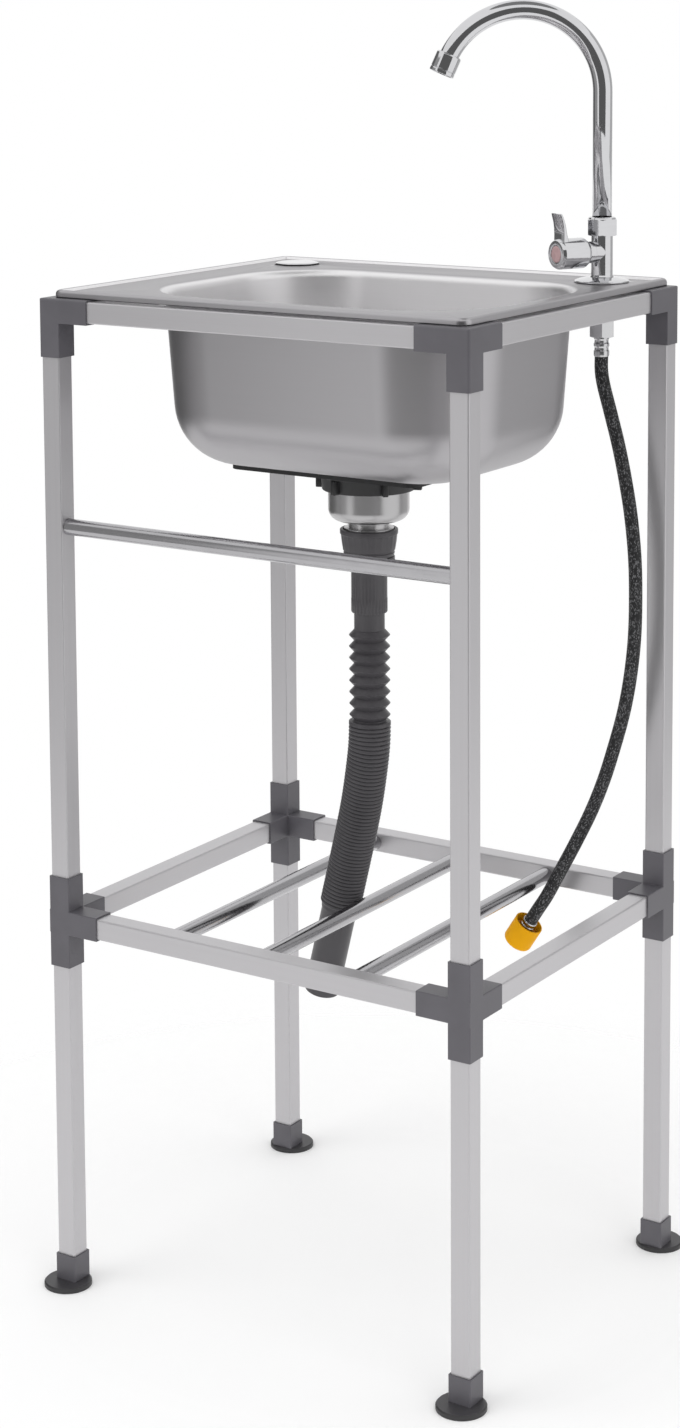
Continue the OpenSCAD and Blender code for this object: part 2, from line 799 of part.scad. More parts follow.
module coupling_nut() {
    lip_h = 4;
    rib_d = 3;
    step = neck_low - coupling_low;
    color(drain_grey) at_drain(coupling_low) difference() {
        union() {
            cylinder(d = coupling_d - 2, h = coupling_h);
            translate([0, 0, coupling_h - lip_h]) cylinder(d = coupling_d, h = lip_h - 1);
            for (i = [0 : coupling_ribs - 1]) rotate([0, 0, i * 360 / coupling_ribs])
                translate([(coupling_d - rib_d) / 2 - seat, 0, 0])
                    cylinder(d = rib_d, h = coupling_h - lip_h, $fn = 24);
        }
        translate([0, 0, step - cut]) cylinder(d = neck_d + 2 * run_gap, h = coupling_h);
        translate([0, 0, -cut]) cylinder(d = cuff_plug_d + 2 * seat, h = step + cut);
    }
}

module hose_top_cuff() {
    color(drain_grey) at_drain(0) difference() {
        union() {
            translate([0, 0, ring_low]) cylinder(d = cuff_collar_d, h = cuff_ring_h);
            translate([0, 0, ring_low]) cylinder(d = cuff_plug_d, h = cuff_top - ring_low);
            translate([0, 0, cuff_low]) cylinder(d = cuff_d, h = cuff_len + cut);
            translate([0, 0, hose_top]) cylinder(d = cuff_step_d, h = cuff_step_len + cut);
        }
        translate([0, 0, hose_top - cut]) cylinder(d = hose_bore_d, h = cuff_top - hose_top + 2 * cut);
    }
}

// ---------- Hoses swept along their routes ----------

// Catmull-Rom points along a route, n to each stretch
function blend(a, b, c, d, t) = 0.5 * ((2 * b) + (c - a) * t + (2 * a - 5 * b + 4 * c - d) * t * t
    + (3 * b - a - 3 * c + d) * t * t * t);
function smooth(p, n) = let(last = len(p) - 1) concat(
    [for (i = [0 : last - 1], j = [0 : n - 1])
        let(a = i == 0 ? 2 * p[0] - p[1] : p[i - 1], d = i == last - 1 ? 2 * p[last] - p[last - 1] : p[i + 2])
        blend(a, p[i], p[i + 1], d, j / n)],
    [p[last]]);
function sums(p) = [for (i = 0, s = 0; i < len(p); s = s + (i < len(p) - 1 ? norm(p[i + 1] - p[i]) : 0),
    i = i + 1) s];
// Index of the stretch of a path that holds the length s
function find(s, sum, lo, hi) = hi - lo <= 1 ? lo
    : let(mid = floor((lo + hi) / 2)) sum[mid] <= s ? find(s, sum, mid, hi) : find(s, sum, lo, mid);
function point_at(p, sum, s) = let(i = find(s, sum, 0, len(sum) - 1))
    p[i] + (p[i + 1] - p[i]) * (s - sum[i]) / (sum[i + 1] - sum[i]);
function unit(v) = v / norm(v);
function way_at(p, sum, s) = let(total = sum[len(sum) - 1], a = max(s - 2, 0), b = min(s + 2, total))
    unit(point_at(p, sum, b) - point_at(p, sum, a));
// Ring of points around the path; the routes never run along Y
function ring(p, sum, s, r, sides) = let(o = point_at(p, sum, s), w = way_at(p, sum, s),
    u = unit(cross([0, 1, 0], w)), v = cross(w, u))
    [for (k = [0 : sides - 1]) o + r * (cos(k * 360 / sides) * u + sin(k * 360 / sides) * v)];
function band(a, b, sides) = [for (k = [0 : sides - 1]) each let(m = (k + 1) % sides)
    [[a + k, b + k, b + m], [a + k, b + m, a + m]]];
function flip(faces) = [for (f = faces) [f[2], f[1], f[0]]];

// Tube from rings [length, radius] outside and inside; both lists run from one end to the other
module swept_tube(route, outer, inner, sides) {
    path = smooth(route, 8);
    sum = sums(path);
    rings = concat(outer, inner);
    pts = [for (q = rings) each ring(path, sum, q[0], q[1], sides)];
    na = len(outer);
    nb = len(inner);
    bands_out = [for (i = [0 : na - 2]) each band(i * sides, (i + 1) * sides, sides)];
    bands_in = [for (i = [0 : nb - 2]) each flip(band((na + i) * sides, (na + i + 1) * sides, sides))];
    start = flip(band(0, na * sides, sides));
    end = band((na - 1) * sides, (na + nb - 1) * sides, sides);
    polyhedron(pts, concat(bands_out, bands_in, start, end), convexity = 10);
}

// Solid tube of one radius
module swept_rod(route, count, r, sides) {
    path = smooth(route, 8);
    sum = sums(path);
    total = sum[len(sum) - 1];
    pts = [for (i = [0 : count - 1]) each ring(path, sum, total * i / (count - 1), r, sides)];
    last = (count - 1) * sides;
    sides_faces = [for (i = [0 : count - 2]) each band(i * sides, (i + 1) * sides, sides)];
    start = [for (k = [1 : sides - 2]) [0, k, k + 1]];
    end = [for (k = [1 : sides - 2]) [last, last + k + 1, last + k]];
    polyhedron(pts, concat(sides_faces, start, end), convexity = 10);
}

drain_path = smooth(drain_route, 8);
drain_sums = sums(drain_path);
drain_len = drain_sums[len(drain_sums) - 1];
hose_sides = 8;
collar_len = 5;
ribs_start = fold_count * fold_pitch + collar_len;
rib_pitch = (drain_len - ribs_start - 2) / rib_count;
drain_rings = concat(
    [for (i = [0 : fold_count - 1]) each
        [[i * fold_pitch, fold_root_d / 2], [(i + 0.5) * fold_pitch, fold_d / 2]]],
    [[fold_count * fold_pitch, fold_root_d / 2], [fold_count * fold_pitch + 2, rib_d / 2]],
    [for (i = [0 : rib_count - 1]) each
        [[ribs_start + i * rib_pitch, rib_root_d / 2], [ribs_start + (i + 0.5) * rib_pitch, rib_d / 2]]],
    [[ribs_start + rib_count * rib_pitch, rib_root_d / 2], [drain_len, rib_root_d / 2]]
);
bore_steps = 24;
drain_bore = [for (i = [0 : bore_steps]) [drain_len * i / bore_steps, hose_bore_d / 2]];

module drain_hose() {
    color(drain_grey) at_drain(hose_top) swept_tube(drain_route, drain_rings, drain_bore, hose_sides);
}

// Puts a piece at the end of a route, with +Z back up the route
module at_end(route) {
    last = route[len(route) - 1];
    before = route[len(route) - 2];
    way = unit(before - last);
    translate(last) rotate([0, acos(way[2]), atan2(way[1], way[0])]) children();
}

module drain_tail() {
    lip_h = 3;
    lip_out = 0.75;
    color(drain_grey) at_drain(hose_top) at_end(drain_route) rotate([180, 0, 0]) difference() {
        union() {
            cylinder(d = tail_d + 2 * lip_out, h = lip_h);
            cylinder(d = tail_d, h = tail_len);
        }
        translate([0, 0, -cut]) cylinder(d = tail_bore_d, h = tail_len + 2 * cut);
    }
}

// ---------- Tap ----------

module at_tap(z) translate([tap_x, tap_y, z]) children();
// Puts +Z along the valve's axis, away from the tap
module along_valve() at_tap(valve_z) rotate([0, 0, valve_turn]) along_x() children();

module tap_body() {
    over_flange = deck_top + flange_h;
    color(chrome_grey) difference() {
        union() {
            at_tap(shank_low) cylinder(d = shank_d, h = over_flange + cut - shank_low);
            at_tap(over_flange + seat) cylinder(d = tap_body_d, h = tap_top - over_flange - seat);
            at_tap(nut_low + cut) cylinder(d = nut_seat_d, h = spout_low - seat - nut_low - cut);
            along_valve() cylinder(d = housing_d, h = housing_reach);
        }
        at_tap(shank_low - cut) cylinder(d = water_d, h = spout_low - shank_low + 2 * cut);
        along_valve() translate([0, 0, cartridge_start]) cylinder(d = cartridge_d, h = housing_reach);
    }
}

module tap_flange() {
    base_h = 2;
    color(chrome_grey) at_tap(deck_top + seat) difference() {
        union() {
            cylinder(d = flange_d, h = base_h);
            translate([0, 0, base_h])
                cylinder(d1 = flange_d, d2 = (flange_d + tap_body_d) / 2, h = flange_h - base_h - seat);
        }
        translate([0, 0, -cut]) cylinder(d = shank_d + 2 * seat, h = flange_h + 2 * cut);
    }
}

module deck_nut() {
    washer_t = 2;
    nut_h = 8;
    color(steel_grey) at_tap(deck_low - seat - washer_t - nut_h) difference() {
        union() {
            cylinder(d = deck_nut_w, h = nut_h, $fn = 6);
            translate([0, 0, nut_h]) cylinder(d = deck_nut_w + 2 * washer_t, h = washer_t);
        }
        translate([0, 0, -cut]) cylinder(d = shank_d + 2 * run_gap, h = nut_h + washer_t + 2 * cut);
    }
}

module spout_nut() {
    top_h = 2;
    color(chrome_grey) at_tap(nut_low) difference() {
        union() {
            cylinder(d = spout_nut_w, h = spout_nut_h - top_h, $fn = 6);
            translate([0, 0, spout_nut_h - top_h])
                cylinder(d1 = spout_nut_w - 2 * top_h, d2 = spout_nut_w - 4 * top_h, h = top_h);
        }
        translate([0, 0, -cut])
            cylinder(d = nut_seat_d + 2 * run_gap, h = spout_low + spout_ring_h + seat - nut_low + cut);
        cylinder(d = spout_d + 2 * run_gap, h = spout_nut_h + cut);
    }
}

// Puts +X along the spout's reach, with the arch's plane through the tap's axis
module along_reach() at_tap(0) rotate([0, 0, spout_turn]) children();

// Puts the arch's circle in XY, with its centre at the origin
module in_arch() along_reach() translate([arch_r, 0, arch_z]) rotate([90, 0, 0]) children();

// Puts a piece at the end of the arch, with +Z out of the spout
module at_arch_end() {
    in_arch() rotate([0, 0, 180 - arch_turn]) translate([arch_r, 0, 0]) rotate([90, 0, 0]) children();
}

module spout() {
    inner_r = spout_d / 2 - spout_wall;
    color(chrome_grey) {
        along_reach() translate([0, 0, spout_low]) rotate_extrude() translate([inner_r, 0]) {
            square([spout_wall, arch_z - spout_low]);
            square([nut_seat_d / 2 - inner_r, spout_ring_h]);
        }
        in_arch() rotate([0, 0, 180]) rotate_extrude(angle = -arch_turn) translate([arch_r, 0]) difference() {
            circle(d = spout_d);
            circle(d = spout_d - 2 * spout_wall);
        }
    }
}

// Its bore is a little wide, because the spout still curves inside it
module aerator_housing() {
    curve_gap = 0.75;
    color(chrome_grey) at_arch_end() translate([0, 0, -tip_in]) difference() {
        cylinder(d = aerator_d, h = aerator_len);
        translate([0, 0, -cut]) cylinder(d = spout_d + curve_gap, h = tip_in + seat + cut);
        translate([0, 0, tip_in]) cylinder(d = aerator_d - 2 * aerator_wall, h = aerator_len);
    }
}

module aerator_screen() {
    screen_d = aerator_d - 2 * (aerator_wall + run_gap);
    inset = 2;
    hole_d = 1.8;
    // Distance from the middle and number of holes, for each ring of them
    rings = [[screen_d / 7, 6], [screen_d / 3, 12]];
    color(drain_grey) at_arch_end() translate([0, 0, 2 * seat]) difference() {
        cylinder(d = screen_d, h = aerator_len - tip_in - inset);
        for (ring = rings, i = [0 : ring[1] - 1]) rotate([0, 0, i * 360 / ring[1]])
            translate([ring[0], 0, -cut]) cylinder(d = hole_d, h = aerator_len, $fn = 16);
    }
}

module tap_cartridge() {
    color(brass_gold) along_valve() translate([0, 0, cartridge_start + seat]) difference() {
        cylinder(d = cartridge_d - 2 * run_gap, h = housing_reach - cartridge_start - seat);
        translate([0, 0, -cut]) cylinder(d = spindle_d + 2 * run_gap, h = housing_reach);
    }
}

module tap_handle() {
    edge = 3;
    spindle_len = 8;
    root_len = 7;
    neck_up = lever_h * 0.68;
    // Slab of the lever, w wide and t thick, a distance up from the valve's axis
    module slab(up, out, w, t) {
        translate([-up, -w / 2, out]) cube([2, w, t]);
    }
    color(chrome_grey) along_valve() difference() {
        union() {
            translate([0, 0, drum_start]) cylinder(d1 = drum_d - edge, d2 = drum_d, h = edge);
            translate([0, 0, drum_start + edge]) cylinder(d = drum_d, h = drum_len - 2 * edge);
            translate([0, 0, drum_end - edge]) cylinder(d1 = drum_d, d2 = drum_d - edge, h = edge);
            translate([0, 0, drum_start - spindle_len]) cylinder(d = spindle_d, h = spindle_len + cut);
            hull() {
                slab(drum_d / 4, drum_end - edge - root_len, lever_w, root_len);
                slab(neck_up, drum_end - edge - lever_t, lever_w, lever_t);
            }
            hull() {
                slab(neck_up, drum_end - edge - lever_t, lever_w, lever_t);
                slab(lever_h, drum_end - edge - lever_t + lever_flare, lever_w - 2, lever_t);
            }
        }
        translate([0, 0, drum_end - button_in]) cylinder(d = button_d + 2 * run_gap, h = button_in + cut);
    }
}

module handle_button() {
    color(button_pink) along_valve() translate([0, 0, drum_end - button_in + run_gap])
        cylinder(d = button_d, h = button_t);
}

// ---------- Supply hose ----------

module inlet_nut() {
    color(steel_grey) at_tap(inlet_nut_low) difference() {
        cylinder(d = hose_nut_w, h = inlet_nut_h, $fn = 6);
        translate([0, 0, inlet_nut_h - inlet_over - seat])
            cylinder(d = shank_d + 2 * run_gap, h = inlet_nut_h);
        translate([0, 0, -cut]) cylinder(d = ferrule_bore_d, h = inlet_nut_h);
    }
}

module inlet_ferrule() {
    color(steel_grey) at_tap(ferrule_low)
        round_tube(ferrule_d, (ferrule_d - ferrule_bore_d) / 2, inlet_ferrule_len);
}

module supply_hose() {
    color(braid_black) at_tap(ferrule_low) swept_rod(supply_route, 30, braid_d / 2, 12);
}

// Puts a piece at the hose's free end, with +Z on away from the hose
module at_free_end() at_tap(ferrule_low) at_end(supply_route) rotate([180, 0, 0]) children();

module end_ferrule() {
    head_start = end_nut_start + nut_web + seat;
    color(steel_grey) at_free_end() {
        cylinder(d = ferrule_d, h = end_ferrule_len);
        translate([0, 0, end_ferrule_len - cut])
            cylinder(d = stem_d, h = head_start - end_ferrule_len + 2 * cut);
        translate([0, 0, head_start]) cylinder(d = stem_head_d, h = stem_head_h);
    }
}

module end_nut() {
    color(brass_gold) at_free_end() translate([0, 0, end_nut_start]) difference() {
        cylinder(d = hose_nut_w, h = end_nut_h, $fn = 6);
        translate([0, 0, nut_web]) cylinder(d = shank_d, h = end_nut_h);
        translate([0, 0, -cut]) cylinder(d = stem_d + 2 * run_gap, h = nut_web + 2 * cut);
    }
}

module hose_cap() {
    edge = 2;
    color(cap_yellow) at_free_end() translate([0, 0, end_nut_start - cap_over]) difference() {
        union() {
            cylinder(d = cap_out_d, h = cap_len - edge);
            translate([0, 0, cap_len - edge]) cylinder(d1 = cap_out_d, d2 = cap_out_d - edge, h = edge);
        }
        translate([0, 0, -cut]) cylinder(d = cap_in_d, h = cap_len - cap_wall + cut);
    }
}

leg_upper(-1, -1);  // leg_upper_front_left
leg_upper(1, -1);  // leg_upper_front_right
leg_upper(-1, 1);  // leg_upper_back_left
leg_upper(1, 1);  // leg_upper_back_right
leg_lower(-1, -1);  // leg_lower_front_left
leg_lower(1, -1);  // leg_lower_front_right
leg_lower(-1, 1);  // leg_lower_back_left
leg_lower(1, 1);  // leg_lower_back_right
rail_x(-1, top_z);  // top_rail_front
rail_x(1, top_z);  // top_rail_back
rail_y(-1, top_z);  // top_rail_left
rail_y(1, top_z);  // top_rail_right
rail_x(-1, shelf_z);  // shelf_rail_front
rail_x(1, shelf_z);  // shelf_rail_back
rail_y(-1, shelf_z);  // shelf_rail_left
rail_y(1, shelf_z);  // shelf_rail_right
top_corner(-1, -1);  // top_corner_front_left
top_corner(1, -1);  // top_corner_front_right
top_corner(-1, 1);  // top_corner_back_left
top_corner(1, 1);  // top_corner_back_right
shelf_corner(-1, -1);  // shelf_corner_front_left
shelf_corner(1, -1);  // shelf_corner_front_right
shelf_corner(-1, 1);  // shelf_corner_back_left
shelf_corner(1, 1);  // shelf_corner_back_right
foot(-1, -1);  // foot_front_left
foot(1, -1);  // foot_front_right
foot(-1, 1);  // foot_back_left
foot(1, 1);  // foot_back_right
towel_bar();
shelf_rod(-1);  // shelf_rod_left
shelf_rod(0);  // shelf_rod_middle
shelf_rod(1);  // shelf_rod_right
sink_bowl();
sound_pad();
tap_hole_cover();
drain_cup();
drain_gasket();
drain_lock_nut();
strainer_basket();
basket_stopper();
coupling_nut();
hose_top_cuff();
drain_hose();
drain_tail();
tap_body();
tap_flange();
deck_nut();
spout_nut();
spout();
aerator_housing();
aerator_screen();
tap_cartridge();
tap_handle();
handle_button();
inlet_nut();
inlet_ferrule();
supply_hose();
end_ferrule();
end_nut();
hose_cap();
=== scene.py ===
"""Looks of the camp wash stand: a frame of square steel tubes, a pressed sink, tap, drain and hoses."""

from bisect import bisect_right
from math import atan2, cos, degrees, hypot, pi, radians, sin, tan, tau

import bmesh
import bpy
from mathutils import Matrix, Vector


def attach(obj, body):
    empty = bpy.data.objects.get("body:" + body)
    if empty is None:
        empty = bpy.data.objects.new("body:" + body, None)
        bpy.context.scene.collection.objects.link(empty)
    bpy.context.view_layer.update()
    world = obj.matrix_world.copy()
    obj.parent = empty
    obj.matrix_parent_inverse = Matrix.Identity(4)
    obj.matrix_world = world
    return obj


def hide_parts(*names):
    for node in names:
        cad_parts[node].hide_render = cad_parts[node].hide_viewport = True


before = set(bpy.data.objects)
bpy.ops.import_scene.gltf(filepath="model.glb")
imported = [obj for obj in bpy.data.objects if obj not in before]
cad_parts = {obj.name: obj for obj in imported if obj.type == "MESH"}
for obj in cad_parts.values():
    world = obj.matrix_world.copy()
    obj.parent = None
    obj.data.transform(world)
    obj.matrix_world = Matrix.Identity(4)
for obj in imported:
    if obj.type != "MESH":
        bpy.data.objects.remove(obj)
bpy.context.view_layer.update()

UP = Vector((0, 0, 1))
MM = 0.001


def mm(*values):
    """Point given in millimetres, as metres"""
    return Vector(values) * MM


# ---------- Sizes that several pieces share, in millimetres unless a name says otherwise ----------

SHEET = 0.8
DECK_TOP = 924.5
RIM_FOOT = 920.3
# Height of the dark strip under the rim's foot, which paints the shadow in the gap under the rim
SHADOW_STRIP_HEIGHT = 0.4
SINK_WIDTH = 430
SINK_DEPTH = 368
SINK_MIDDLE = 4
RIM_CORNER = 10
BOWL_CENTRE = (11, -9)
BOWL_CORE = (85, 45)
BOWL_CORNER = 86
BOWL_LIP = 9
BOWL_BEND = 56
BOWL_DRAFT = radians(4.2)
BOWL_HEIGHT = 158
FLOOR = DECK_TOP - BOWL_HEIGHT
DRAIN_HOLE = 76.2
CUP_BOTTOM = 713.5
HOSE_TOP = 612.2
TAP = (168, 142)
TAP_HOLE = 22
COVER = (-168, 142)
COVER_HOLE = 34
FERRULE_LOW = 856.2


# ---------- Camera: at the photograph's angle ----------

# The long side, the lens and the row of the camera's axis, in the photograph's pixels
PHOTO_LONG_SIDE = 1428
FOCAL_PIXELS = 2782
AXIS_ROW = 305
# Where the camera stands in millimetres, and which way it looks
CAMERA_PLACE = (1354.81, -2101.28, 1193.59)
CAMERA_TURN, CAMERA_TILT, CAMERA_ROLL = radians(33.29), radians(6.52), radians(-0.35)


def make_camera():
    lens = bpy.data.cameras.new("camera")
    lens.sensor_width = 36
    lens.lens = FOCAL_PIXELS * lens.sensor_width / PHOTO_LONG_SIDE
    lens.shift_y = (AXIS_ROW - PHOTO_LONG_SIDE / 2) / PHOTO_LONG_SIDE
    lens.clip_end = 50
    camera = bpy.data.objects.new("camera", lens)
    bpy.context.scene.collection.objects.link(camera)
    turn = Matrix.Rotation(CAMERA_TURN, 4, "Z") @ Matrix.Rotation(pi / 2 - CAMERA_TILT, 4, "X")
    camera.matrix_world = (
        Matrix.Translation(mm(*CAMERA_PLACE)) @ turn @ Matrix.Rotation(CAMERA_ROLL, 4, "Z")
    )
    bpy.context.scene.camera = camera


make_camera()


# ---------- Mesh helpers ----------

# An outline's points are (radius, height), in millimetres, and a corner's third number is its rounding


def finished(name, bm, body, material, sharp=35, replaces=()):
    """Object made of a bmesh: it rides on a body and stands for the nodes that it replaces"""
    mesh = bpy.data.meshes.new(name)
    bm.to_mesh(mesh)
    bm.free()
    mesh.shade_smooth()
    mesh.set_sharp_from_angle(angle=radians(sharp))
    mesh.materials.append(material)
    piece = bpy.data.objects.new(name, mesh)
    bpy.context.scene.collection.objects.link(piece)
    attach(piece, body)
    if replaces:
        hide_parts(*replaces)
    return piece


def rounded(corners, segments=4):
    """Outline through corners (radius, height, rounding), each rounded by an arc"""
    outline = []
    for i, (x, z, rounding) in enumerate(corners):
        here = Vector((x, z))
        if not rounding or i in (0, len(corners) - 1):
            outline.append((x, z))
            continue
        back = (Vector(corners[i - 1][:2]) - here).normalized()
        ahead = (Vector(corners[i + 1][:2]) - here).normalized()
        half = back.angle(ahead) / 2
        centre = here + (back + ahead).normalized() * rounding / sin(half)
        first = here + back * rounding / tan(half) - centre
        last = here + ahead * rounding / tan(half) - centre
        start = atan2(first.y, first.x)
        sweep = (atan2(last.y, last.x) - start + pi) % tau - pi
        for k in range(segments + 1):
            a = start + sweep * k / segments
            outline.append((centre.x + rounding * cos(a), centre.y + rounding * sin(a)))
    return outline


def turned(outline, steps, bm=None):
    """Outline of (radius, height) in millimetres, spun round Z, and added to bm if there is one"""
    part = bmesh.new()
    verts = [part.verts.new((r * MM, 0, z * MM)) for r, z in outline]
    edges = [part.edges.new(pair) for pair in zip(verts, verts[1:])]
    bmesh.ops.spin(
        part, geom=verts + edges, cent=(0, 0, 0), axis=UP, angle=tau, steps=steps, use_merge=True
    )
    bmesh.ops.remove_doubles(part, verts=part.verts, dist=1e-6)
    bmesh.ops.recalc_face_normals(part, faces=part.faces)
    return joined(bm, part)


def joined(bm, part):
    """Adds part to bm, or is part where there is no bm"""
    if bm is None:
        return part
    mesh = bpy.data.meshes.new("part")
    part.to_mesh(mesh)
    part.free()
    bm.from_mesh(mesh)
    bpy.data.meshes.remove(mesh)
    return bm


def circle(bm, radius, sides, at):
    """Open circle with a radius in metres, as its vertices and its edges in order"""
    made = bmesh.ops.create_circle(bm, cap_ends=False, segments=sides, radius=radius, matrix=at)
    verts = made["verts"]
    return verts, list(dict.fromkeys(edge for vert in verts for edge in vert.link_edges))


def pulled(bm, ring, run):
    """Extrudes the edges of a ring by a run, and gives the new ring without its faces"""
    edges = [g for g in ring if isinstance(g, bmesh.types.BMEdge)]
    made = bmesh.ops.extrude_edge_only(bm, edges=edges)["geom"]
    new = [g for g in made if not isinstance(g, bmesh.types.BMFace)]
    bmesh.ops.translate(bm, verts=[g for g in new if isinstance(g, bmesh.types.BMVert)], vec=run)
    return new


def placed(bm, at, way=UP):
    """Turns +Z to a way and moves the origin to a place in millimetres"""
    turn = Vector(way).to_track_quat("Z", "Y").to_matrix().to_4x4()
    bm.transform(Matrix.Translation(mm(*at)) @ turn)
    return bm


def swept_round(outline, half_x, half_y, steps):
    """Outline of (distance out, height) swept round a rectangle, with round corners"""
    bm = bmesh.new()
    verts = [bm.verts.new(mm(half_x + out, -half_y, z)) for out, z in outline]
    ring = verts + [bm.edges.new(pair) for pair in zip(verts, verts[1:])]
    sides = (
        (mm(0, 2 * half_y, 0), mm(half_x, half_y, 0)),
        (mm(-2 * half_x, 0, 0), mm(-half_x, half_y, 0)),
        (mm(0, -2 * half_y, 0), mm(-half_x, -half_y, 0)),
        (mm(2 * half_x, 0, 0), mm(half_x, -half_y, 0)),
    )
    for run, corner in sides:
        ring = pulled(bm, ring, run)
        spun = bmesh.ops.spin(bm, geom=ring, cent=corner, axis=UP, angle=pi / 2, steps=steps)
        ring = [g for g in spun["geom_last"] if not isinstance(g, bmesh.types.BMFace)]
    bmesh.ops.remove_doubles(bm, verts=bm.verts, dist=1e-6)
    return bm


def shaped(bm, shape, beyond):
    """Moves each point that is beyond a radius to the distance from the axis that
    shape(distance, angle, height) gives, in millimetres"""
    for v in bm.verts:
        r = hypot(v.co.x, v.co.y) / MM
        if r > beyond:
            new = shape(r, atan2(v.co.y, v.co.x), v.co.z / MM) / r
            v.co.x, v.co.y = v.co.x * new, v.co.y * new
    return bm


def hexagon(outline, across, beyond):
    """Turned outline, its skin cut to a hexagon that is `across` wide over its corners"""
    flat = across / 2 * cos(pi / 6)

    def to_flats(r, a, z):
        return min(r, flat / cos((a + tau) % (pi / 3) - pi / 6))

    return shaped(turned(outline, 72), to_flats, beyond)


def nut_outline(across, bore, height, chamfer=1.6, rings=5):
    """Closed outline of a hexagon nut, with rings across its chamfers"""
    r = across / 2
    foot = [(r - chamfer * (1 - k / rings), chamfer / 2 * k / rings) for k in range(rings + 1)]
    top = [(x, height - z) for x, z in reversed(foot)]
    return [(bore, 0), *foot, *top, (bore, height), (bore, 0)]


def flat_ring(bore, radius, low, high, rounding=0):
    """Closed outline of a ring, with its outer edges rounded"""
    return rounded([(bore, low, 0), (radius, low, rounding), (radius, high, rounding), (bore, high, 0),
                    (bore, low, 0)])


# ---------- Routes of the hoses: they repeat the points of the part's own routes ----------

DRAIN_POINTS = [
    (0, 0, 0), (0, 0, -20), (0, 0, -40), (0, 0, -60), (0, 0, -82), (-1, 0, -109),
    (-6, 2, -138), (-13, 5, -168), (-22, 8, -200), (-31, 10, -232), (-36, 10.5, -251),
    (-41, 11, -270),
]
SUPPLY_POINTS = [
    (0, 0, 0), (0, 0, -13), (2.5, 0, -27), (9.5, 0, -51), (18, 0, -81), (25.5, 0, -114),
    (31.5, 0, -148), (35.5, 0, -186), (36.5, 0, -224), (35.5, 0, -260), (31.5, 0, -296),
    (25, 0, -330), (15.5, 0, -364), (4.5, 0, -398), (-9, 0, -431), (-26, 0, -465),
    (-41, 0, -493), (-55, 0, -519), (-64, 0, -533), (-73, 0, -547),
]


def route(points, start, per_stretch=12):
    """Smooth path through given points, in metres"""
    p = [mm(*start) + mm(*point) for point in points]
    p = [2 * p[0] - p[1], *p, 2 * p[-1] - p[-2]]
    path = []
    for a, b, c, d in zip(p, p[1:], p[2:], p[3:]):
        for j in range(per_stretch):
            t = j / per_stretch
            path.append(0.5 * (2 * b + (c - a) * t + (2 * a - 5 * b + 4 * c - d) * t**2
                               + (3 * b - a - 3 * c + d) * t**3))
    return path + [p[-2]]


def lengths_along(path):
    total, lengths = 0.0, [0.0]
    for a, b in zip(path, path[1:]):
        total += (b - a).length
        lengths.append(total)
    return lengths


def hose(path, stations, sides):
    """Tube along a path from stations (length along it, radius), in metres: out along the skin
    and back along the bore, with a UV map that wraps round it"""
    sums = lengths_along(path)
    bm = bmesh.new()
    around = bm.verts.layers.float.new("around")
    along = bm.verts.layers.float.new("along")
    rings = []
    for s, radius in stations:
        i = min(max(bisect_right(sums, s) - 1, 0), len(path) - 2)
        here = path[i].lerp(path[i + 1], (s - sums[i]) / (sums[i + 1] - sums[i]))
        way = (path[min(i + 2, len(path) - 1)] - path[max(i - 1, 0)]).normalized()
        side = Vector((0, 1, 0)).cross(way).normalized()
        turn = Matrix((side, way.cross(side), way)).transposed().to_4x4()
        verts, edges = circle(bm, radius, sides, Matrix.Translation(here) @ turn)
        for k, vert in enumerate(verts):
            vert[around], vert[along] = k / sides, s
        rings.append(edges)
    for a, b in zip(rings, rings[1:] + rings[:1]):
        bmesh.ops.bridge_loops(bm, edges=a + b)
    bmesh.ops.recalc_face_normals(bm, faces=bm.faces)
    uv = bm.loops.layers.uv.new("wrap")
    for face in bm.faces:
        wraps = max(v[around] for v in face.verts) > 0.75
        for loop in face.loops:
            u = loop.vert[around]
            loop[uv].uv = (u + 1 if wraps and u < 0.25 else u, loop.vert[along])
    return bm


# ---------- Materials ----------


class Finish:
    """A material's node tree, written one node at a time"""

    def __init__(self, name):
        self.material = bpy.data.materials.new(name)
        self.material.use_nodes = True
        self.tree = self.material.node_tree
        self.tree.nodes.clear()

    def add(self, kind, links=None, **values):
        return add_node(self.tree, kind, links, **values)

    def surface(self, links, **values):
        """Principled shader with linked sockets and plain values, as the material's surface"""
        shader = self.add("ShaderNodeBsdfPrincipled", links, **values)
        output = self.add("ShaderNodeOutputMaterial")
        self.tree.links.new(shader.outputs[0], output.inputs["Surface"])
        return self.material

    def surface_of(self, group, **values):
        """Surface with the colour, roughness and normal that a group puts out"""
        sockets = {"Base Color": "Color", "Roughness": "Roughness", "Normal": "Normal"}
        return self.surface({a: group.outputs[b] for a, b in sockets.items()}, **values)

    def group(self, tree, links=None, **values):
        """Node of a shared group, with linked sockets and plain values"""
        node = self.add("ShaderNodeGroup")
        node.node_tree = tree
        fill(self.tree, node, links, values)
        return node


def fill(tree, node, links, values):
    """Sets plain values on a node's sockets by name, and links others by name or number"""
    for key, value in values.items():
        node.inputs[key.replace("_", " ")].default_value = value
    for key, source in (links or {}).items():
        tree.links.new(source, node.inputs[key if isinstance(key, int) else key.replace("_", " ")])


def add_node(tree, kind, links=None, settings=None, **values):
    """Node of a kind, with its own settings, linked sockets and plain values"""
    node = tree.nodes.new(kind)
    for key, value in (settings or {}).items():
        setattr(node, key, value)
    fill(tree, node, links, values)
    return node


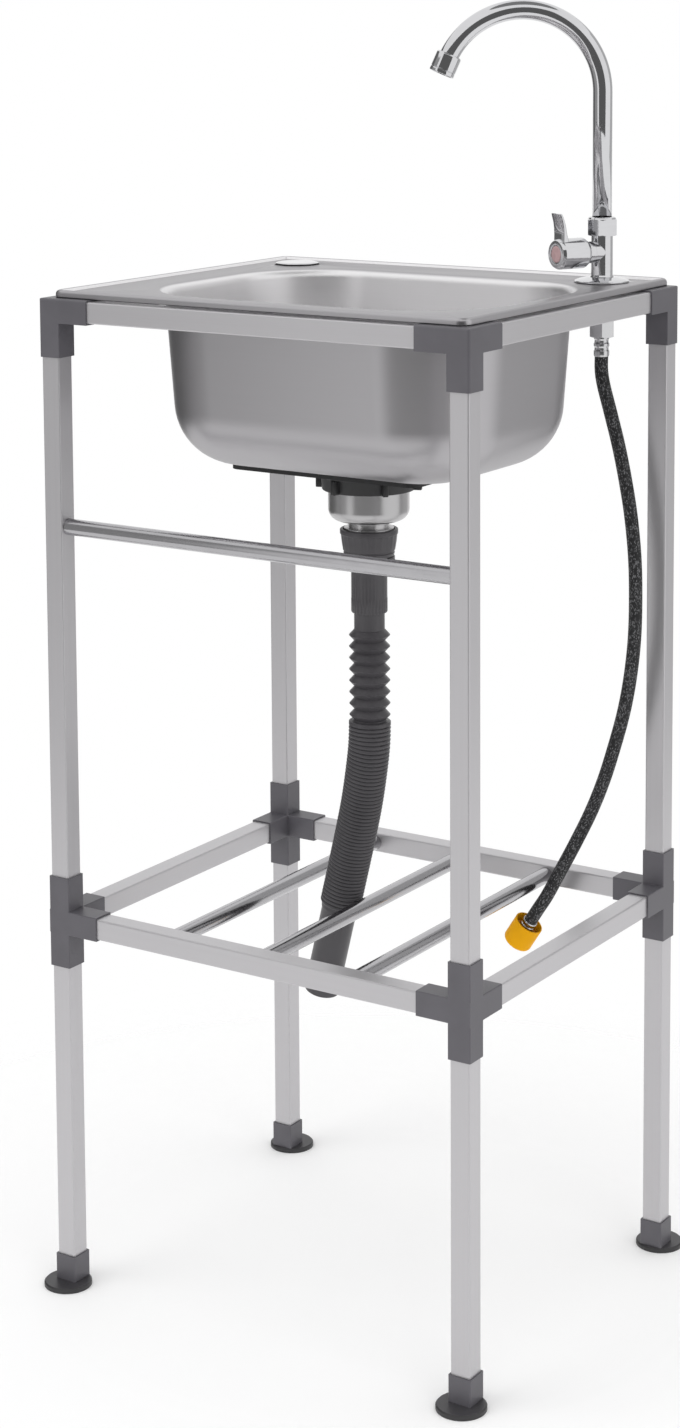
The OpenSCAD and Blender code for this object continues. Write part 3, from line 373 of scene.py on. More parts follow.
def new_group(name, inputs, outputs):
    """Empty node group with named sockets, and its input and output nodes"""
    tree = bpy.data.node_groups.new(name, "ShaderNodeTree")
    for socket, kind, value in inputs:
        made = tree.interface.new_socket(socket, in_out="INPUT", socket_type="NodeSocket" + kind)
        if value is not None:
            made.default_value = value
    for socket, kind in outputs:
        tree.interface.new_socket(socket, in_out="OUTPUT", socket_type="NodeSocket" + kind)
    return tree, tree.nodes.new("NodeGroupInput"), tree.nodes.new("NodeGroupOutput")


def maths(tree, a, b, operation="ADD"):
    """Math node on two sockets or numbers: their sum, or what the operation says"""
    node = tree.nodes.new("ShaderNodeMath")
    node.operation = operation
    for slot, value in enumerate((a, b)):
        if isinstance(value, (int, float)):
            node.inputs[slot].default_value = value
        else:
            tree.links.new(value, node.inputs[slot])
    return node.outputs[0]


def multiplied(tree, a, b):
    """Product of two vectors or colours, part by part"""
    return add_node(tree, "ShaderNodeVectorMath", {0: a, 1: b}, {"operation": "MULTIPLY"}).outputs[0]


def blended(tree, factor, first, second):
    """Colour between two, by a factor from 0 to 1"""
    node = add_node(tree, "ShaderNodeMix", {0: factor}, {"data_type": "RGBA"})
    node.inputs[6].default_value, node.inputs[7].default_value = (*first, 1), (*second, 1)
    return node.outputs[2]


def noise_in(tree, vector, scale, detail=3.0, roughness=0.5):
    node = add_node(tree, "ShaderNodeTexNoise", {"Vector": vector},
                    Scale=scale, Detail=detail, Roughness=roughness)
    return node.outputs["Fac"]


def shade(tree, factor, low, high, start=0.3, end=0.7):
    """Maps a factor from its start to its end onto two numbers"""
    node = add_node(tree, "ShaderNodeMapRange", {"Value": factor},
                    From_Min=start, From_Max=end, To_Min=low, To_Max=high)
    return node.outputs[0]


# Height of the brushed lines and of the pebble at full strength, in metres
BUMP = 0.0002


def make_brushed():
    """Fine lines left by a brush, over a soft unevenness of the sheet"""
    tree, given, out = new_group(
        "brushed lines",
        [("Vector", "Vector", None), ("Stretch", "Vector", LINES["X"]),
         ("Color", "Color", (0.6, 0.6, 0.6, 1)), ("Contrast", "Float", 0.1), ("Roughness", "Float", 0.3),
         ("Depth", "Float", 0.1)],
        [("Color", "Color"), ("Roughness", "Float"), ("Normal", "Vector")],
    )
    stretched = multiplied(tree, given.outputs["Vector"], given.outputs["Stretch"])
    fine, coarse = noise_in(tree, stretched, 1.0, 2.0), noise_in(tree, stretched, 0.29, 2.0)
    cloud = noise_in(tree, given.outputs["Vector"], 9.0, 2.0)
    lines = maths(tree, maths(tree, fine, 0.55, "MULTIPLY"), maths(tree, coarse, 0.45, "MULTIPLY"))
    mixed = maths(tree, maths(tree, lines, 0.75, "MULTIPLY"), maths(tree, cloud, 0.25, "MULTIPLY"))
    centred = maths(tree, maths(tree, mixed, 0.5, "SUBTRACT"), given.outputs["Contrast"], "MULTIPLY")
    colour = multiplied(tree, given.outputs["Color"], maths(tree, centred, 1.0))
    rough = maths(tree, given.outputs["Roughness"], maths(tree, centred, 0.8, "MULTIPLY"))
    bump = add_node(tree, "ShaderNodeBump", {"Height": lines, "Strength": given.outputs["Depth"]},
                    Distance=BUMP)
    tree.links.new(colour, out.inputs["Color"])
    tree.links.new(rough, out.inputs["Roughness"])
    tree.links.new(bump.outputs[0], out.inputs["Normal"])
    return tree


def make_handled():
    """Faint smudges and wipe marks that make a polished surface uneven"""
    tree, given, out = new_group(
        "wiped surface",
        [("Vector", "Vector", None), ("Roughness", "Float", 0.1), ("Amount", "Float", 0.1)],
        [("Roughness", "Float"), ("Mask", "Float")],
    )
    cloud = noise_in(tree, given.outputs["Vector"], 34.0, 4.0, 0.6)
    wipes = add_node(tree, "ShaderNodeMapping", {"Vector": given.outputs["Vector"]})
    wipes.inputs["Scale"].default_value = (60, 60, 340)
    streak = noise_in(tree, wipes.outputs[0], 1.0, 2.0)
    mask = shade(tree, maths(tree, cloud, streak, "MULTIPLY"), 0.0, 1.0, 0.16, 0.36)
    rough = maths(tree, given.outputs["Roughness"], maths(tree, mask, given.outputs["Amount"], "MULTIPLY"))
    tree.links.new(rough, out.inputs["Roughness"])
    tree.links.new(mask, out.inputs["Mask"])
    return tree


def make_moulded():
    """Spark-eroded skin of a moulded plastic: a fine pebble, with faint flow marks"""
    tree, given, out = new_group(
        "moulded skin",
        [("Vector", "Vector", None), ("Color", "Color", (0.1, 0.1, 0.1, 1)), ("Roughness", "Float", 0.5),
         ("Depth", "Float", 0.25), ("Grain", "Float", 1500.0)],
        [("Color", "Color"), ("Roughness", "Float"), ("Normal", "Vector")],
    )
    pebble = add_node(tree, "ShaderNodeTexVoronoi",
                      {"Vector": given.outputs["Vector"], "Scale": given.outputs["Grain"]},
                      settings={"feature": "SMOOTH_F1"})
    flow = noise_in(tree, given.outputs["Vector"], 30.0, 3.0)
    bright = shade(tree, flow, 0.9, 1.1)
    colour = multiplied(tree, given.outputs["Color"], bright)
    rough = maths(tree, given.outputs["Roughness"], shade(tree, flow, -0.05, 0.05))
    bump = add_node(tree, "ShaderNodeBump",
                    {"Height": pebble.outputs["Distance"], "Strength": given.outputs["Depth"]},
                    Distance=BUMP)
    tree.links.new(colour, out.inputs["Color"])
    tree.links.new(rough, out.inputs["Roughness"])
    tree.links.new(bump.outputs[0], out.inputs["Normal"])
    return tree


# Waves per metre of brushed lines along X, Y and Z, by the way that the lines run
LINES = {
    "X": (6, 900, 900), "Y": (900, 6, 900), "Z": (900, 900, 6), "round": (6, 6, 900), "flat": (6, 900, 6),
}
BRUSHED, HANDLED, MOULDED = make_brushed(), make_handled(), make_moulded()


def brushed_steel(name, colour, roughness, contrast, lines="X", depth=0.08, metallic=1.0):
    """Steel with fine lines along one axis, or level round a turned piece"""
    f = Finish(name)
    place = f.add("ShaderNodeTexCoord").outputs["Object"]
    brushed = f.group(BRUSHED, {"Vector": place}, Stretch=LINES[lines], Color=(*colour, 1),
                      Contrast=contrast, Roughness=roughness, Depth=depth)
    return f.surface_of(brushed, Metallic=metallic)


# A point in the middle of the bowl: the sheet's faces that look at it are the bowl's inside
BOWL_HEART = (*BOWL_CENTRE, 860)


def pressed_steel(name, colour, inside, roughness, contrast, depth):
    """Brushed sheet: its lines run along X on the flats and level round the walls; the bowl's inside,
    where the press stretched the sheet, is duller, and its colour is painted paler: painted light that
    brightens the bowl's inside"""
    f = Finish(name)
    coordinates = f.add("ShaderNodeTexCoord")
    normal = f.add("ShaderNodeSeparateXYZ", {"Vector": coordinates.outputs["Normal"]})
    flat = shade(f.tree, maths(f.tree, normal.outputs["Z"], 0.0, "ABSOLUTE"), 0.0, 1.0, 0.6, 0.62)
    stretch = blended(f.tree, flat, LINES["round"], LINES["flat"])
    out = f.add("ShaderNodeVectorMath", {0: coordinates.outputs["Object"]},
                settings={"operation": "SUBTRACT"})
    out.inputs[1].default_value = mm(*BOWL_HEART)
    facing = f.add("ShaderNodeVectorMath", {0: out.outputs[0], 1: coordinates.outputs["Normal"]},
                   settings={"operation": "DOT_PRODUCT"})
    # Mask of the bowl's inside, where the colour is painted paler: painted light that brightens the inside
    # of the bowl
    inside_painted_light_mask = shade(f.tree, facing.outputs["Value"], 1.0, 0.0, -0.05, 0.005)
    rough = shade(f.tree, inside_painted_light_mask, roughness, roughness + 0.05, 0.0, 1.0)
    brushed = f.group(BRUSHED, {"Vector": coordinates.outputs["Object"], "Stretch": stretch,
                                "Roughness": rough, "Color": blended(f.tree, inside_painted_light_mask, colour, inside)},
                      Contrast=contrast, Depth=depth)
    return f.surface_of(brushed, Metallic=1.0, Specular_Tint=(0.8, 0.8, 0.8, 1))


def polished(name, colour, roughness, amount):
    """Polished metal with faint smudges, which dull it by an amount"""
    f = Finish(name)
    place = f.add("ShaderNodeTexCoord").outputs["Object"]
    wiped = f.group(HANDLED, {"Vector": place}, Roughness=roughness, Amount=amount)
    tint = blended(f.tree, wiped.outputs["Mask"], colour, [0.97 * c for c in colour])
    return f.surface({"Base Color": tint, "Roughness": wiped.outputs["Roughness"]}, Metallic=1.0)


def foot_plastic(name, colour, colour_below_step):
    """Moulded plastic, darker from the floor up to the foot's step"""
    f = Finish(name)
    place = f.add("ShaderNodeTexCoord").outputs["Object"]
    height = f.add("ShaderNodeSeparateXYZ", {"Vector": place}).outputs["Z"]
    tint = blended(f.tree, shade(f.tree, height, 0.0, 1.0, 0.0044, 0.0048), colour_below_step, colour)
    return f.surface_of(f.group(MOULDED, {"Vector": place, "Color": tint}, Roughness=0.45))


def moulded(name, colour, roughness, depth=0.25, grain=1500.0, **values):
    """Moulded plastic or rubber, with a pebble of so many grains to the metre"""
    f = Finish(name)
    place = f.add("ShaderNodeTexCoord").outputs["Object"]
    skin = f.group(MOULDED, {"Vector": place}, Color=(*colour, 1), Roughness=roughness, Depth=depth,
                   Grain=grain)
    return f.surface_of(skin, **values)


def braided(name):
    """Black nylon braid with silver threads, on the wrap map: u goes round once, v is a length"""
    f = Finish(name)
    threads_round, twist = 30.0, 420.0
    wrap = f.add("ShaderNodeUVMap", settings={"uv_map": "wrap"})
    split = f.add("ShaderNodeSeparateXYZ", {"Vector": wrap.outputs[0]})
    t = f.tree
    u = maths(t, split.outputs["X"], threads_round, "MULTIPLY")
    v = maths(t, split.outputs["Y"], twist, "MULTIPLY")
    right, left = maths(t, u, v), maths(t, u, v, "SUBTRACT")
    cells, ridges = [], []
    for strand in (right, left):
        cells.append(maths(t, strand, 0.0, "FLOOR"))
        across = maths(t, maths(t, strand, 1.0, "FRACT"), 0.5, "SUBTRACT")
        ridges.append(maths(t, across, 0.0, "ABSOLUTE"))
    checks = maths(t, maths(t, cells[0], cells[1]), 2.0, "FLOORED_MODULO")
    top = f.add("ShaderNodeMix", {"Factor": checks}, settings={"data_type": "FLOAT"})
    t.links.new(ridges[0], top.inputs["A"])
    t.links.new(ridges[1], top.inputs["B"])
    height = maths(t, 0.5, top.outputs[0], "SUBTRACT")
    # Each crossing's own number: its place along the hose, and round it without a jump at the seam
    number = f.add("ShaderNodeCombineXYZ", {
        "X": maths(t, cells[0], cells[1], "SUBTRACT"),
        "Y": maths(t, maths(t, cells[0], cells[1]), 2 * threads_round, "FLOORED_MODULO")})
    chance = f.add("ShaderNodeTexWhiteNoise", {"Vector": number.outputs[0]})
    silver = shade(t, chance.outputs["Value"], 0.0, 1.0, 0.55, 1.0)
    fleck = maths(t, silver, maths(t, height, 2.0, "MULTIPLY"), "MULTIPLY")
    colour = blended(t, fleck, (0.012, 0.012, 0.013), (0.24, 0.24, 0.25))
    bump = f.add("ShaderNodeBump", {"Height": height}, Strength=0.6, Distance=0.0006)
    return f.surface({"Base Color": colour, "Normal": bump.outputs[0]},
                     Roughness=0.5, Specular_IOR_Level=0.35)


TUBE_COLOUR = (0.54, 0.53, 0.545)
steel_up = brushed_steel("tube steel, lines upright", TUBE_COLOUR, 0.38, 0.12, "Z", metallic=0.7)
steel_x = brushed_steel("tube steel, lines along X", TUBE_COLOUR, 0.38, 0.12, "X", metallic=0.7)
steel_y = brushed_steel("tube steel, lines along Y", TUBE_COLOUR, 0.38, 0.12, "Y", metallic=0.7)
# The second colour, for the bowl's inside, is painted much paler: painted light in the bowl
sink_steel = pressed_steel("sink steel", (0.47, 0.46, 0.475), (0.90, 0.89, 0.90), 0.36, 0.06, 0.035)
drain_steel = brushed_steel("drain steel", (0.49, 0.485, 0.49), 0.28, 0.04, "round", 0.02)
nut_steel = brushed_steel("nut steel", (0.62, 0.62, 0.63), 0.2, 0.15, "Z")
rod_chrome = polished("rod chrome", (0.46, 0.455, 0.47), 0.17, 0.03)
tap_chrome = polished("tap chrome", (0.66, 0.66, 0.675), 0.06, 0.03)
brass = polished("brass", (0.72, 0.50, 0.22), 0.28, 0.2)
socket_plastic = moulded("socket plastic", (0.098, 0.094, 0.106), 0.42)
drain_plastic = moulded("drain plastic", (0.055, 0.052, 0.057), 0.40, 0.15)
dark_plastic = moulded("dark plastic", (0.018, 0.018, 0.019), 0.45)
rubber = moulded("rubber", (0.018, 0.018, 0.019), 0.6, 0.3, 900.0)
yellow = moulded("yellow plastic", (0.80, 0.38, 0.002), 0.5, 0.1, Specular_IOR_Level=0.12)
foot_finish = foot_plastic("foot plastic", (0.098, 0.094, 0.106), (0.03, 0.029, 0.031))
pink = moulded("button plastic", (0.50, 0.33, 0.335), 0.3, 0.05)
braid = braided("black braid")


# ---------- Hoses ----------


def crest(phase):
    """Height of a fold with a sharp crest over its length, from 0 to 1 and back"""
    return 1 - abs(2 * phase - 1)


def rib(phase):
    """Height of a round rib over its length, from 0 to 1 and back"""
    return max(sin(pi * phase), 0) ** 0.6


# The drain hose's wide folds and fine ribs: how many, and their radii
FOLDS, FOLD_PITCH, FOLD_ROOT, FOLD_CREST = 8, 10.6, 14, 18.8
RIBS, RIB_ROOT, RIB_CREST, COLLAR = 50, 17.7, 19.4, 19.3
STEPS_PER_FOLD, STEPS_PER_RIB = 12, 6
HOSE_BORE = 11.5
SUPPLY_RADIUS, SUPPLY_BORE = 6.25, 4
SUPPLY_STATIONS, BORE_STATIONS = 120, 24
FERRULE_RADIUS = 7.25


def bore_stations(total, radius):
    """Stations back along a bore of one radius"""
    return [(total * (BORE_STATIONS - i) / BORE_STATIONS, radius) for i in range(BORE_STATIONS + 1)]


def drain_stations(total):
    """Wide folds, a smooth collar, then fine ribs, as (length, radius)"""
    folds_end = FOLDS * FOLD_PITCH
    ribs_start = folds_end + 5
    rib_pitch = (total - ribs_start - 2) / RIBS
    skin = []
    for i in range(FOLDS * STEPS_PER_FOLD):
        turn = i / STEPS_PER_FOLD
        skin.append((turn * FOLD_PITCH, FOLD_ROOT + (FOLD_CREST - FOLD_ROOT) * crest(turn % 1)))
    skin += [(folds_end, FOLD_ROOT + 1), (folds_end + 0.5, COLLAR - 0.8), (folds_end + 1.2, COLLAR),
             (ribs_start - 0.8, COLLAR)]
    for i in range(RIBS * STEPS_PER_RIB + 1):
        turn = i / STEPS_PER_RIB
        skin.append((ribs_start + turn * rib_pitch, RIB_ROOT + (RIB_CREST - RIB_ROOT) * rib(turn % 1)))
    skin.append((total, RIB_ROOT))
    return [(s * MM, r * MM) for s, r in skin + bore_stations(total, HOSE_BORE)]


def make_tail(path):
    tail = rounded([(14, 0, 0), (17.2, 0, 0.6), (17.2, 3, 0.5), (16.5, 3.4, 0.3), (16.5, 90, 1),
                    (14, 90, 0.4), (14, 0, 0)])
    bm = placed(turned(tail, 72), path[-1] / MM, path[-1] - path[-2])
    return finished("hose_tail_cuff", bm, "stand", drain_plastic, replaces=["drain_tail"])


def make_drain_hose():
    start = (*BOWL_CENTRE, HOSE_TOP)
    path = route(DRAIN_POINTS, start)
    total = lengths_along(path)[-1]
    piece = finished("drain_hose_ribbed", hose(path, drain_stations(total / MM), 48), "stand",
                     drain_plastic, sharp=50, replaces=["drain_hose"])
    make_tail(path)


def crimped(length, radius, bore):
    """Closed outline of a ferrule with two crimped waists"""
    waist = radius - 0.7
    return rounded([(bore, 0, 0), (radius - 0.3, 0, 0.3), (radius, length * 0.12, 0.5),
                    (radius, length * 0.28, 0.6), (waist, length * 0.36, 0.6),
                    (waist, length * 0.46, 0.6), (radius, length * 0.54, 0.6),
                    (radius, length * 0.66, 0.6), (waist, length * 0.74, 0.6),
                    (waist, length * 0.84, 0.6), (radius, length * 0.92, 0.4),
                    (radius, length, 0.2), (bore, length, 0), (bore, 0, 0)])


def make_end_ferrule(end, way):
    bm = turned(crimped(10, FERRULE_RADIUS, 0.5), 48)
    turned(rounded([(0.5, 9, 0), (5.25, 9, 0), (5.25, 13.1, 0), (FERRULE_RADIUS, 13.1, 0.3),
                    (FERRULE_RADIUS, 15.6, 0.5), (0.5, 15.6, 0), (0.5, 9, 0)]), 48, bm)
    return finished("end_ferrule_crimped", placed(bm, end, way), "stand", nut_steel,
                    replaces=["end_ferrule"])


def make_end_nut(end, way):
    bm = hexagon(nut_outline(25, 9, 15), 25, 9.5)
    turned(flat_ring(5.35, 10, 0.3, 2.5), 48, bm)
    bmesh.ops.rotate(bm, verts=bm.verts, cent=(0, 0, 0), matrix=Matrix.Rotation(pi / 2, 3, "Z"))
    bmesh.ops.translate(bm, verts=bm.verts, vec=mm(0, 0, 10.3))
    return finished("end_nut_hexagon", placed(bm, end, way), "end_nut", brass, sharp=25,
                    replaces=["end_nut"])


def make_cap(end, way):
    cap = rounded([(12.8, 3.3, 0.4), (14, 3.3, 0.5), (14, 26.4, 1.6), (13, 28.3, 1.2), (0, 28.3, 0),
                   (0, 27.1, 0), (12.8, 27.1, 0.8), (12.8, 3.3, 0.4)])
    return finished("end_cap_moulded", placed(turned(cap, 72), end, way), "cap", yellow,
                    replaces=["hose_cap"])


def make_supply_hose():
    start = (*TAP, FERRULE_LOW)
    path = route(SUPPLY_POINTS, start)
    total = lengths_along(path)[-1]
    skin = [(total * i / SUPPLY_STATIONS, SUPPLY_RADIUS * MM) for i in range(SUPPLY_STATIONS + 1)]
    stations = skin + bore_stations(total, SUPPLY_BORE * MM)
    piece = finished("supply_hose_braided", hose(path, stations, 32), "stand", braid,
                     sharp=60, replaces=["supply_hose"])
    end, way = path[-1] / MM, path[-1] - path[-2]
    ends = [make_end_ferrule(end, way), make_end_nut(end, way), make_cap(end, way)]


make_drain_hose()
make_supply_hose()


# ---------- Sink ----------


def arc(cx, cz, radius, start, end, steps):
    """Points of an arc, its angles in degrees"""
    turns = [radians(start + (end - start) * k / steps) for k in range(steps + 1)]
    return [(cx + radius * cos(a), cz + radius * sin(a)) for a in turns]


def open_edges(bm, height):
    """Edges with fewer than two faces at a height in millimetres"""
    return [e for e in bm.edges
            if len(e.link_faces) < 2 and all(abs(v.co.z / MM - height) < 0.01 for v in e.verts)]


def round_the_rim(outline):
    """Outline of (distance out, height) swept round the sink, from its corners' centres out"""
    bm = swept_round(outline, SINK_WIDTH / 2 - RIM_CORNER, SINK_DEPTH / 2 - RIM_CORNER, 8)
    bmesh.ops.translate(bm, verts=bm.verts, vec=mm(0, SINK_MIDDLE, 0))
    return bm


def bowl_outline():
    """From the bowl's floor up its bend and its leaning wall, and over its lip"""
    lip_z, bend_z = DECK_TOP - BOWL_LIP, FLOOR + BOWL_BEND
    bend_r = BOWL_CORNER - (lip_z - bend_z) * tan(BOWL_DRAFT) - BOWL_BEND / cos(BOWL_DRAFT)
    lean = degrees(BOWL_DRAFT)
    wall = arc(bend_r, bend_z, BOWL_BEND, -90, -lean, 14)
    return wall + arc(BOWL_CORNER + BOWL_LIP, lip_z, BOWL_LIP, 180 - lean, 90, 8)


def rim_outline():
    """From the deck up over the rolled rim, and down to the dark strip of painted shadow"""
    foot = RIM_FOOT + SHADOW_STRIP_HEIGHT
    bead = [(1, DECK_TOP), (1.5, DECK_TOP - 0.35), (2.2, DECK_TOP - 0.1), (2.8, DECK_TOP + 0.8),
            (3.6, DECK_TOP + 1.7), (4.8, DECK_TOP + 2.2)]
    return bead + arc(6, DECK_TOP - 1.7, 4, 90, 0, 9) + [(RIM_CORNER, foot + 0.5), (RIM_CORNER, foot)]


def make_sink():
    bm = swept_round(bowl_outline(), *BOWL_CORE, 24)
    bmesh.ops.translate(bm, verts=bm.verts, vec=mm(*BOWL_CENTRE, 0))
    bm = joined(bm, round_the_rim(rim_outline()))
    for (x, y), z, d in ((TAP, DECK_TOP, TAP_HOLE), (COVER, DECK_TOP, COVER_HOLE),
                         (BOWL_CENTRE, FLOOR, DRAIN_HOLE)):
        circle(bm, d / 2 * MM, 48, Matrix.Translation(mm(x, y, z)))
    for z in (DECK_TOP, FLOOR):
        bmesh.ops.triangle_fill(bm, edges=open_edges(bm, z), use_beauty=True, use_dissolve=False)
    bmesh.ops.remove_doubles(bm, verts=bm.verts, dist=1e-6)
    bmesh.ops.recalc_face_normals(bm, faces=bm.faces)
    floor = min(bm.faces, key=lambda f: f.calc_center_median().z)
    if floor.normal.z < 0:
        bmesh.ops.reverse_faces(bm, faces=bm.faces)
    sink = finished("sink_pressed", bm, "stand", sink_steel, sharp=40, replaces=["sink_bowl"])
    sheet = sink.modifiers.new("sheet", "SOLIDIFY")
    sheet.thickness, sheet.offset, sheet.use_even_offset = SHEET * MM, -1, True


def make_rim_shadow_strip():
    """Dark strip between the rim's foot and the frame's top rails: a painted shadow for the gap under the
    rim
    """
    bm = round_the_rim(flat_ring(8.2, 9.8, RIM_FOOT, RIM_FOOT + SHADOW_STRIP_HEIGHT))
    bmesh.ops.remove_doubles(bm, verts=bm.verts, dist=1e-6)
    bmesh.ops.recalc_face_normals(bm, faces=bm.faces)
    # Black strip that paints the shadow line under the rim
    finished("rim_shadow_strip", bm, "stand", rubber)


make_sink()
make_rim_shadow_strip()


# ---------- Drain ----------

CUP_RADIUS, CUP_WALL = 37, 1.2
NECK_RADIUS, NECK_BORE = 20, 17.8
# Gap between the cup's flange or the gasket and the sheet
DRAIN_GAP = 0.3
GASKET_HEIGHT = 3.5
LOCK_NUT_FOOT, LOCK_NUT_HEIGHT, LUG_HEIGHT = 742.1, 19.5, 13.5
# How many lugs the lock nut has, and where the first one is, in degrees from X
LUGS, FIRST_LUG = 6, 21
COUPLING_FOOT = 680.5


def at_drain(bm, z=0):
    return placed(bm, (*BOWL_CENTRE, z))


def make_cup():
    flange, pan, inside = FLOOR + DRAIN_GAP, CUP_BOTTOM, CUP_RADIUS - CUP_WALL
    mouth = flange + CUP_WALL
    cup = rounded([
        (inside, mouth, 0), (52, mouth, 2), (55, flange + 0.4, 0.3), (55, flange, 0),
        (CUP_RADIUS, flange, 0.4), (CUP_RADIUS, pan, 11), (20.5, pan, 0.6), (20.5, pan - 2.3, 0.3),
        (18.6, pan - 2.3, 0), (18.6, pan - 6.5, 0), (22.8, pan - 6.7, 0.7), (22.8, pan - 9.9, 0.4),
        (NECK_RADIUS, pan - 10.1, 0), (NECK_RADIUS, pan - 26, 0.4), (NECK_BORE, pan - 26, 0),
        (NECK_BORE, pan + CUP_WALL, 0), (inside, pan + CUP_WALL, 9.8), (inside, mouth, 0)], 8)
    finished("drain_cup_pressed", at_drain(turned(cup, 96)), "stand", drain_steel,
             replaces=["drain_cup"])


def make_gasket():
    top = FLOOR - SHEET - DRAIN_GAP
    gasket = flat_ring(37.3, 49, top - GASKET_HEIGHT, top, 1)
    finished("drain_gasket_ring", at_drain(turned(gasket, 72)), "stand", rubber,
             replaces=["drain_gasket"])


def lock_nut_lug(turn):
    lug = bmesh.new()
    bmesh.ops.create_cube(lug, size=MM)
    bmesh.ops.scale(lug, vec=(8, 5, LUG_HEIGHT), verts=lug.verts)
    bmesh.ops.bevel(lug, geom=lug.edges, offset=0.9 * MM, segments=3, profile=0.5, affect="EDGES",
                    material=-1)
    bmesh.ops.translate(lug, verts=lug.verts, vec=mm(45, 0, 6.7))
    bmesh.ops.rotate(lug, verts=lug.verts, cent=(0, 0, 0), matrix=Matrix.Rotation(radians(turn), 3, "Z"))
    return lug


def make_lock_nut():
    bm = turned(rounded([
        (37.1, 0, 0), (42.5, 0, 1), (44, LUG_HEIGHT, 0.3), (49, LUG_HEIGHT, 1),
        (49, LOCK_NUT_HEIGHT, 1.2), (37.1, LOCK_NUT_HEIGHT, 0), (37.1, 0, 0)]), 96)
    for i in range(LUGS):
        joined(bm, lock_nut_lug(FIRST_LUG + 360 / LUGS * i))
    finished("lock_nut_lugged", at_drain(bm, LOCK_NUT_FOOT), "stand", dark_plastic,
             replaces=["drain_lock_nut"])


def make_coupling_nut():
    """Tapered nut with a ring at its foot, a groove, grip ribs and a collar on top"""
    skin = rounded([
        (19, 0, 0), (22.6, 0, 0.8), (23.4, 3.3, 0.4), (22.7, 4.1, 0.2), (22.7, 4.9, 0.2), (23.8, 5.5, 0.4),
        (25.4, 19.9, 0.4), (26.5, 20.7, 0.5), (26.5, 25, 1), (23.6, 25, 0.4), (23.6, 21.9, 0),
        (20.2, 21.9, 0), (20.2, 6.5, 0), (19, 6.5, 0), (19, 0, 0)])
    halved = [q for a, b in zip(skin, skin[1:]) for q in (a, ((a[0] + b[0]) / 2, (a[1] + b[1]) / 2))]

    def ribs(r, a, z):
        return r + 0.35 * max(cos(24 * a), 0) ** 0.6 if 6 < z < 20.1 else r

    bm = shaped(turned(halved + [skin[-1]], 192), ribs, 23.7)
    finished("coupling_nut_ribbed", at_drain(bm, COUPLING_FOOT), "stand", drain_plastic,
             replaces=["coupling_nut"])


def make_top_cuff():
    """Cuff that the coupling nut holds, with flutes above its ring; its height counts from the hose"""
    cuff = rounded([
        (HOSE_BORE, 75, 0), (18.7, 75, 0.6), (18.7, 68, 0), (23.5, 68, 0.8), (23.5, 62, 0.8),
        (16.5, 62, 0.8), (16.5, 29.8, 0), (16.6, 28.8, 0), (16.6, 17, 0), (16, 16, 0), (14, 16, 0.8),
        (14, 0, 0), (HOSE_BORE, 0, 0), (HOSE_BORE, 75, 0)])

    def flutes(r, a, z):
        return r - 0.5 * max(cos(30 * a), 0) if 15.8 < z < 29.3 else r

    finished("hose_cuff_fluted", at_drain(shaped(turned(cuff, 240), flutes, 15), HOSE_TOP), "stand",
             drain_plastic, replaces=["hose_top_cuff"])


make_cup()
make_gasket()
make_lock_nut()
make_coupling_nut()
make_top_cuff()


# ---------- Tap ----------

VALVE_TURN, SPOUT_TURN = radians(243), radians(220.5)
VALVE_WAY = Vector((cos(VALVE_TURN), sin(VALVE_TURN), 0))
VALVE = (*TAP, 952.5)
SPOUT_FOOT, SPOUT_RADIUS, SPOUT_WALL = 976.5, 9, 1.2
ARCH_Z, ARCH_R, ARCH_TURN = 1098, 74.5, radians(156)
BODY_RADIUS, BODY_BORE = 10, 6
SHANK_RADIUS, THREAD_DEPTH, THREAD_PITCH, THREAD_TURNS = 9, 0.7, 1.5, 30
# The shank's end, counted from the deck, and the foot of the nut below it
SHANK_FOOT = -47.3
INLET_FOOT = 874.2


def at_tap(bm, z=0):
    return placed(bm, (*TAP, z))


def make_tap_body():
    """Upright, its threaded shank and the valve's housing; heights count from the deck"""
    root = SHANK_RADIUS - THREAD_DEPTH
    thread = []
    for i in range(THREAD_TURNS):
        z = -THREAD_PITCH * (i + 1)
        thread += [(SHANK_RADIUS, z), (SHANK_RADIUS, z - 0.6), (root, z - 0.9), (root, z - 1.2)]
    outline = [(BODY_BORE, 51.7), (11, 51.7), (11, 45.5), (BODY_RADIUS, 45.1)]
    outline += rounded([(BODY_RADIUS, 45.1, 0), (BODY_RADIUS, 6.9, 0.8), (10.8, 5.3, 0.6), (10.8, 5.1, 0),
                        (SHANK_RADIUS, 5.1, 0)])
    outline += [*thread, (root, SHANK_FOOT), (BODY_BORE, SHANK_FOOT), (BODY_BORE, 51.7)]
    bm = at_tap(turned(outline, 72), DECK_TOP)
    housing = rounded([(0, 2, 0), (9.6, 2, 0), (9.6, 12, 0), (BODY_RADIUS, 12.4, 0.2),
                       (BODY_RADIUS, 19, 0.6), (0, 19, 0)])
    joined(bm, placed(turned(housing, 72), VALVE, VALVE_WAY))
    finished("tap_body_turned", bm, "stand", tap_chrome, replaces=["tap_body"])


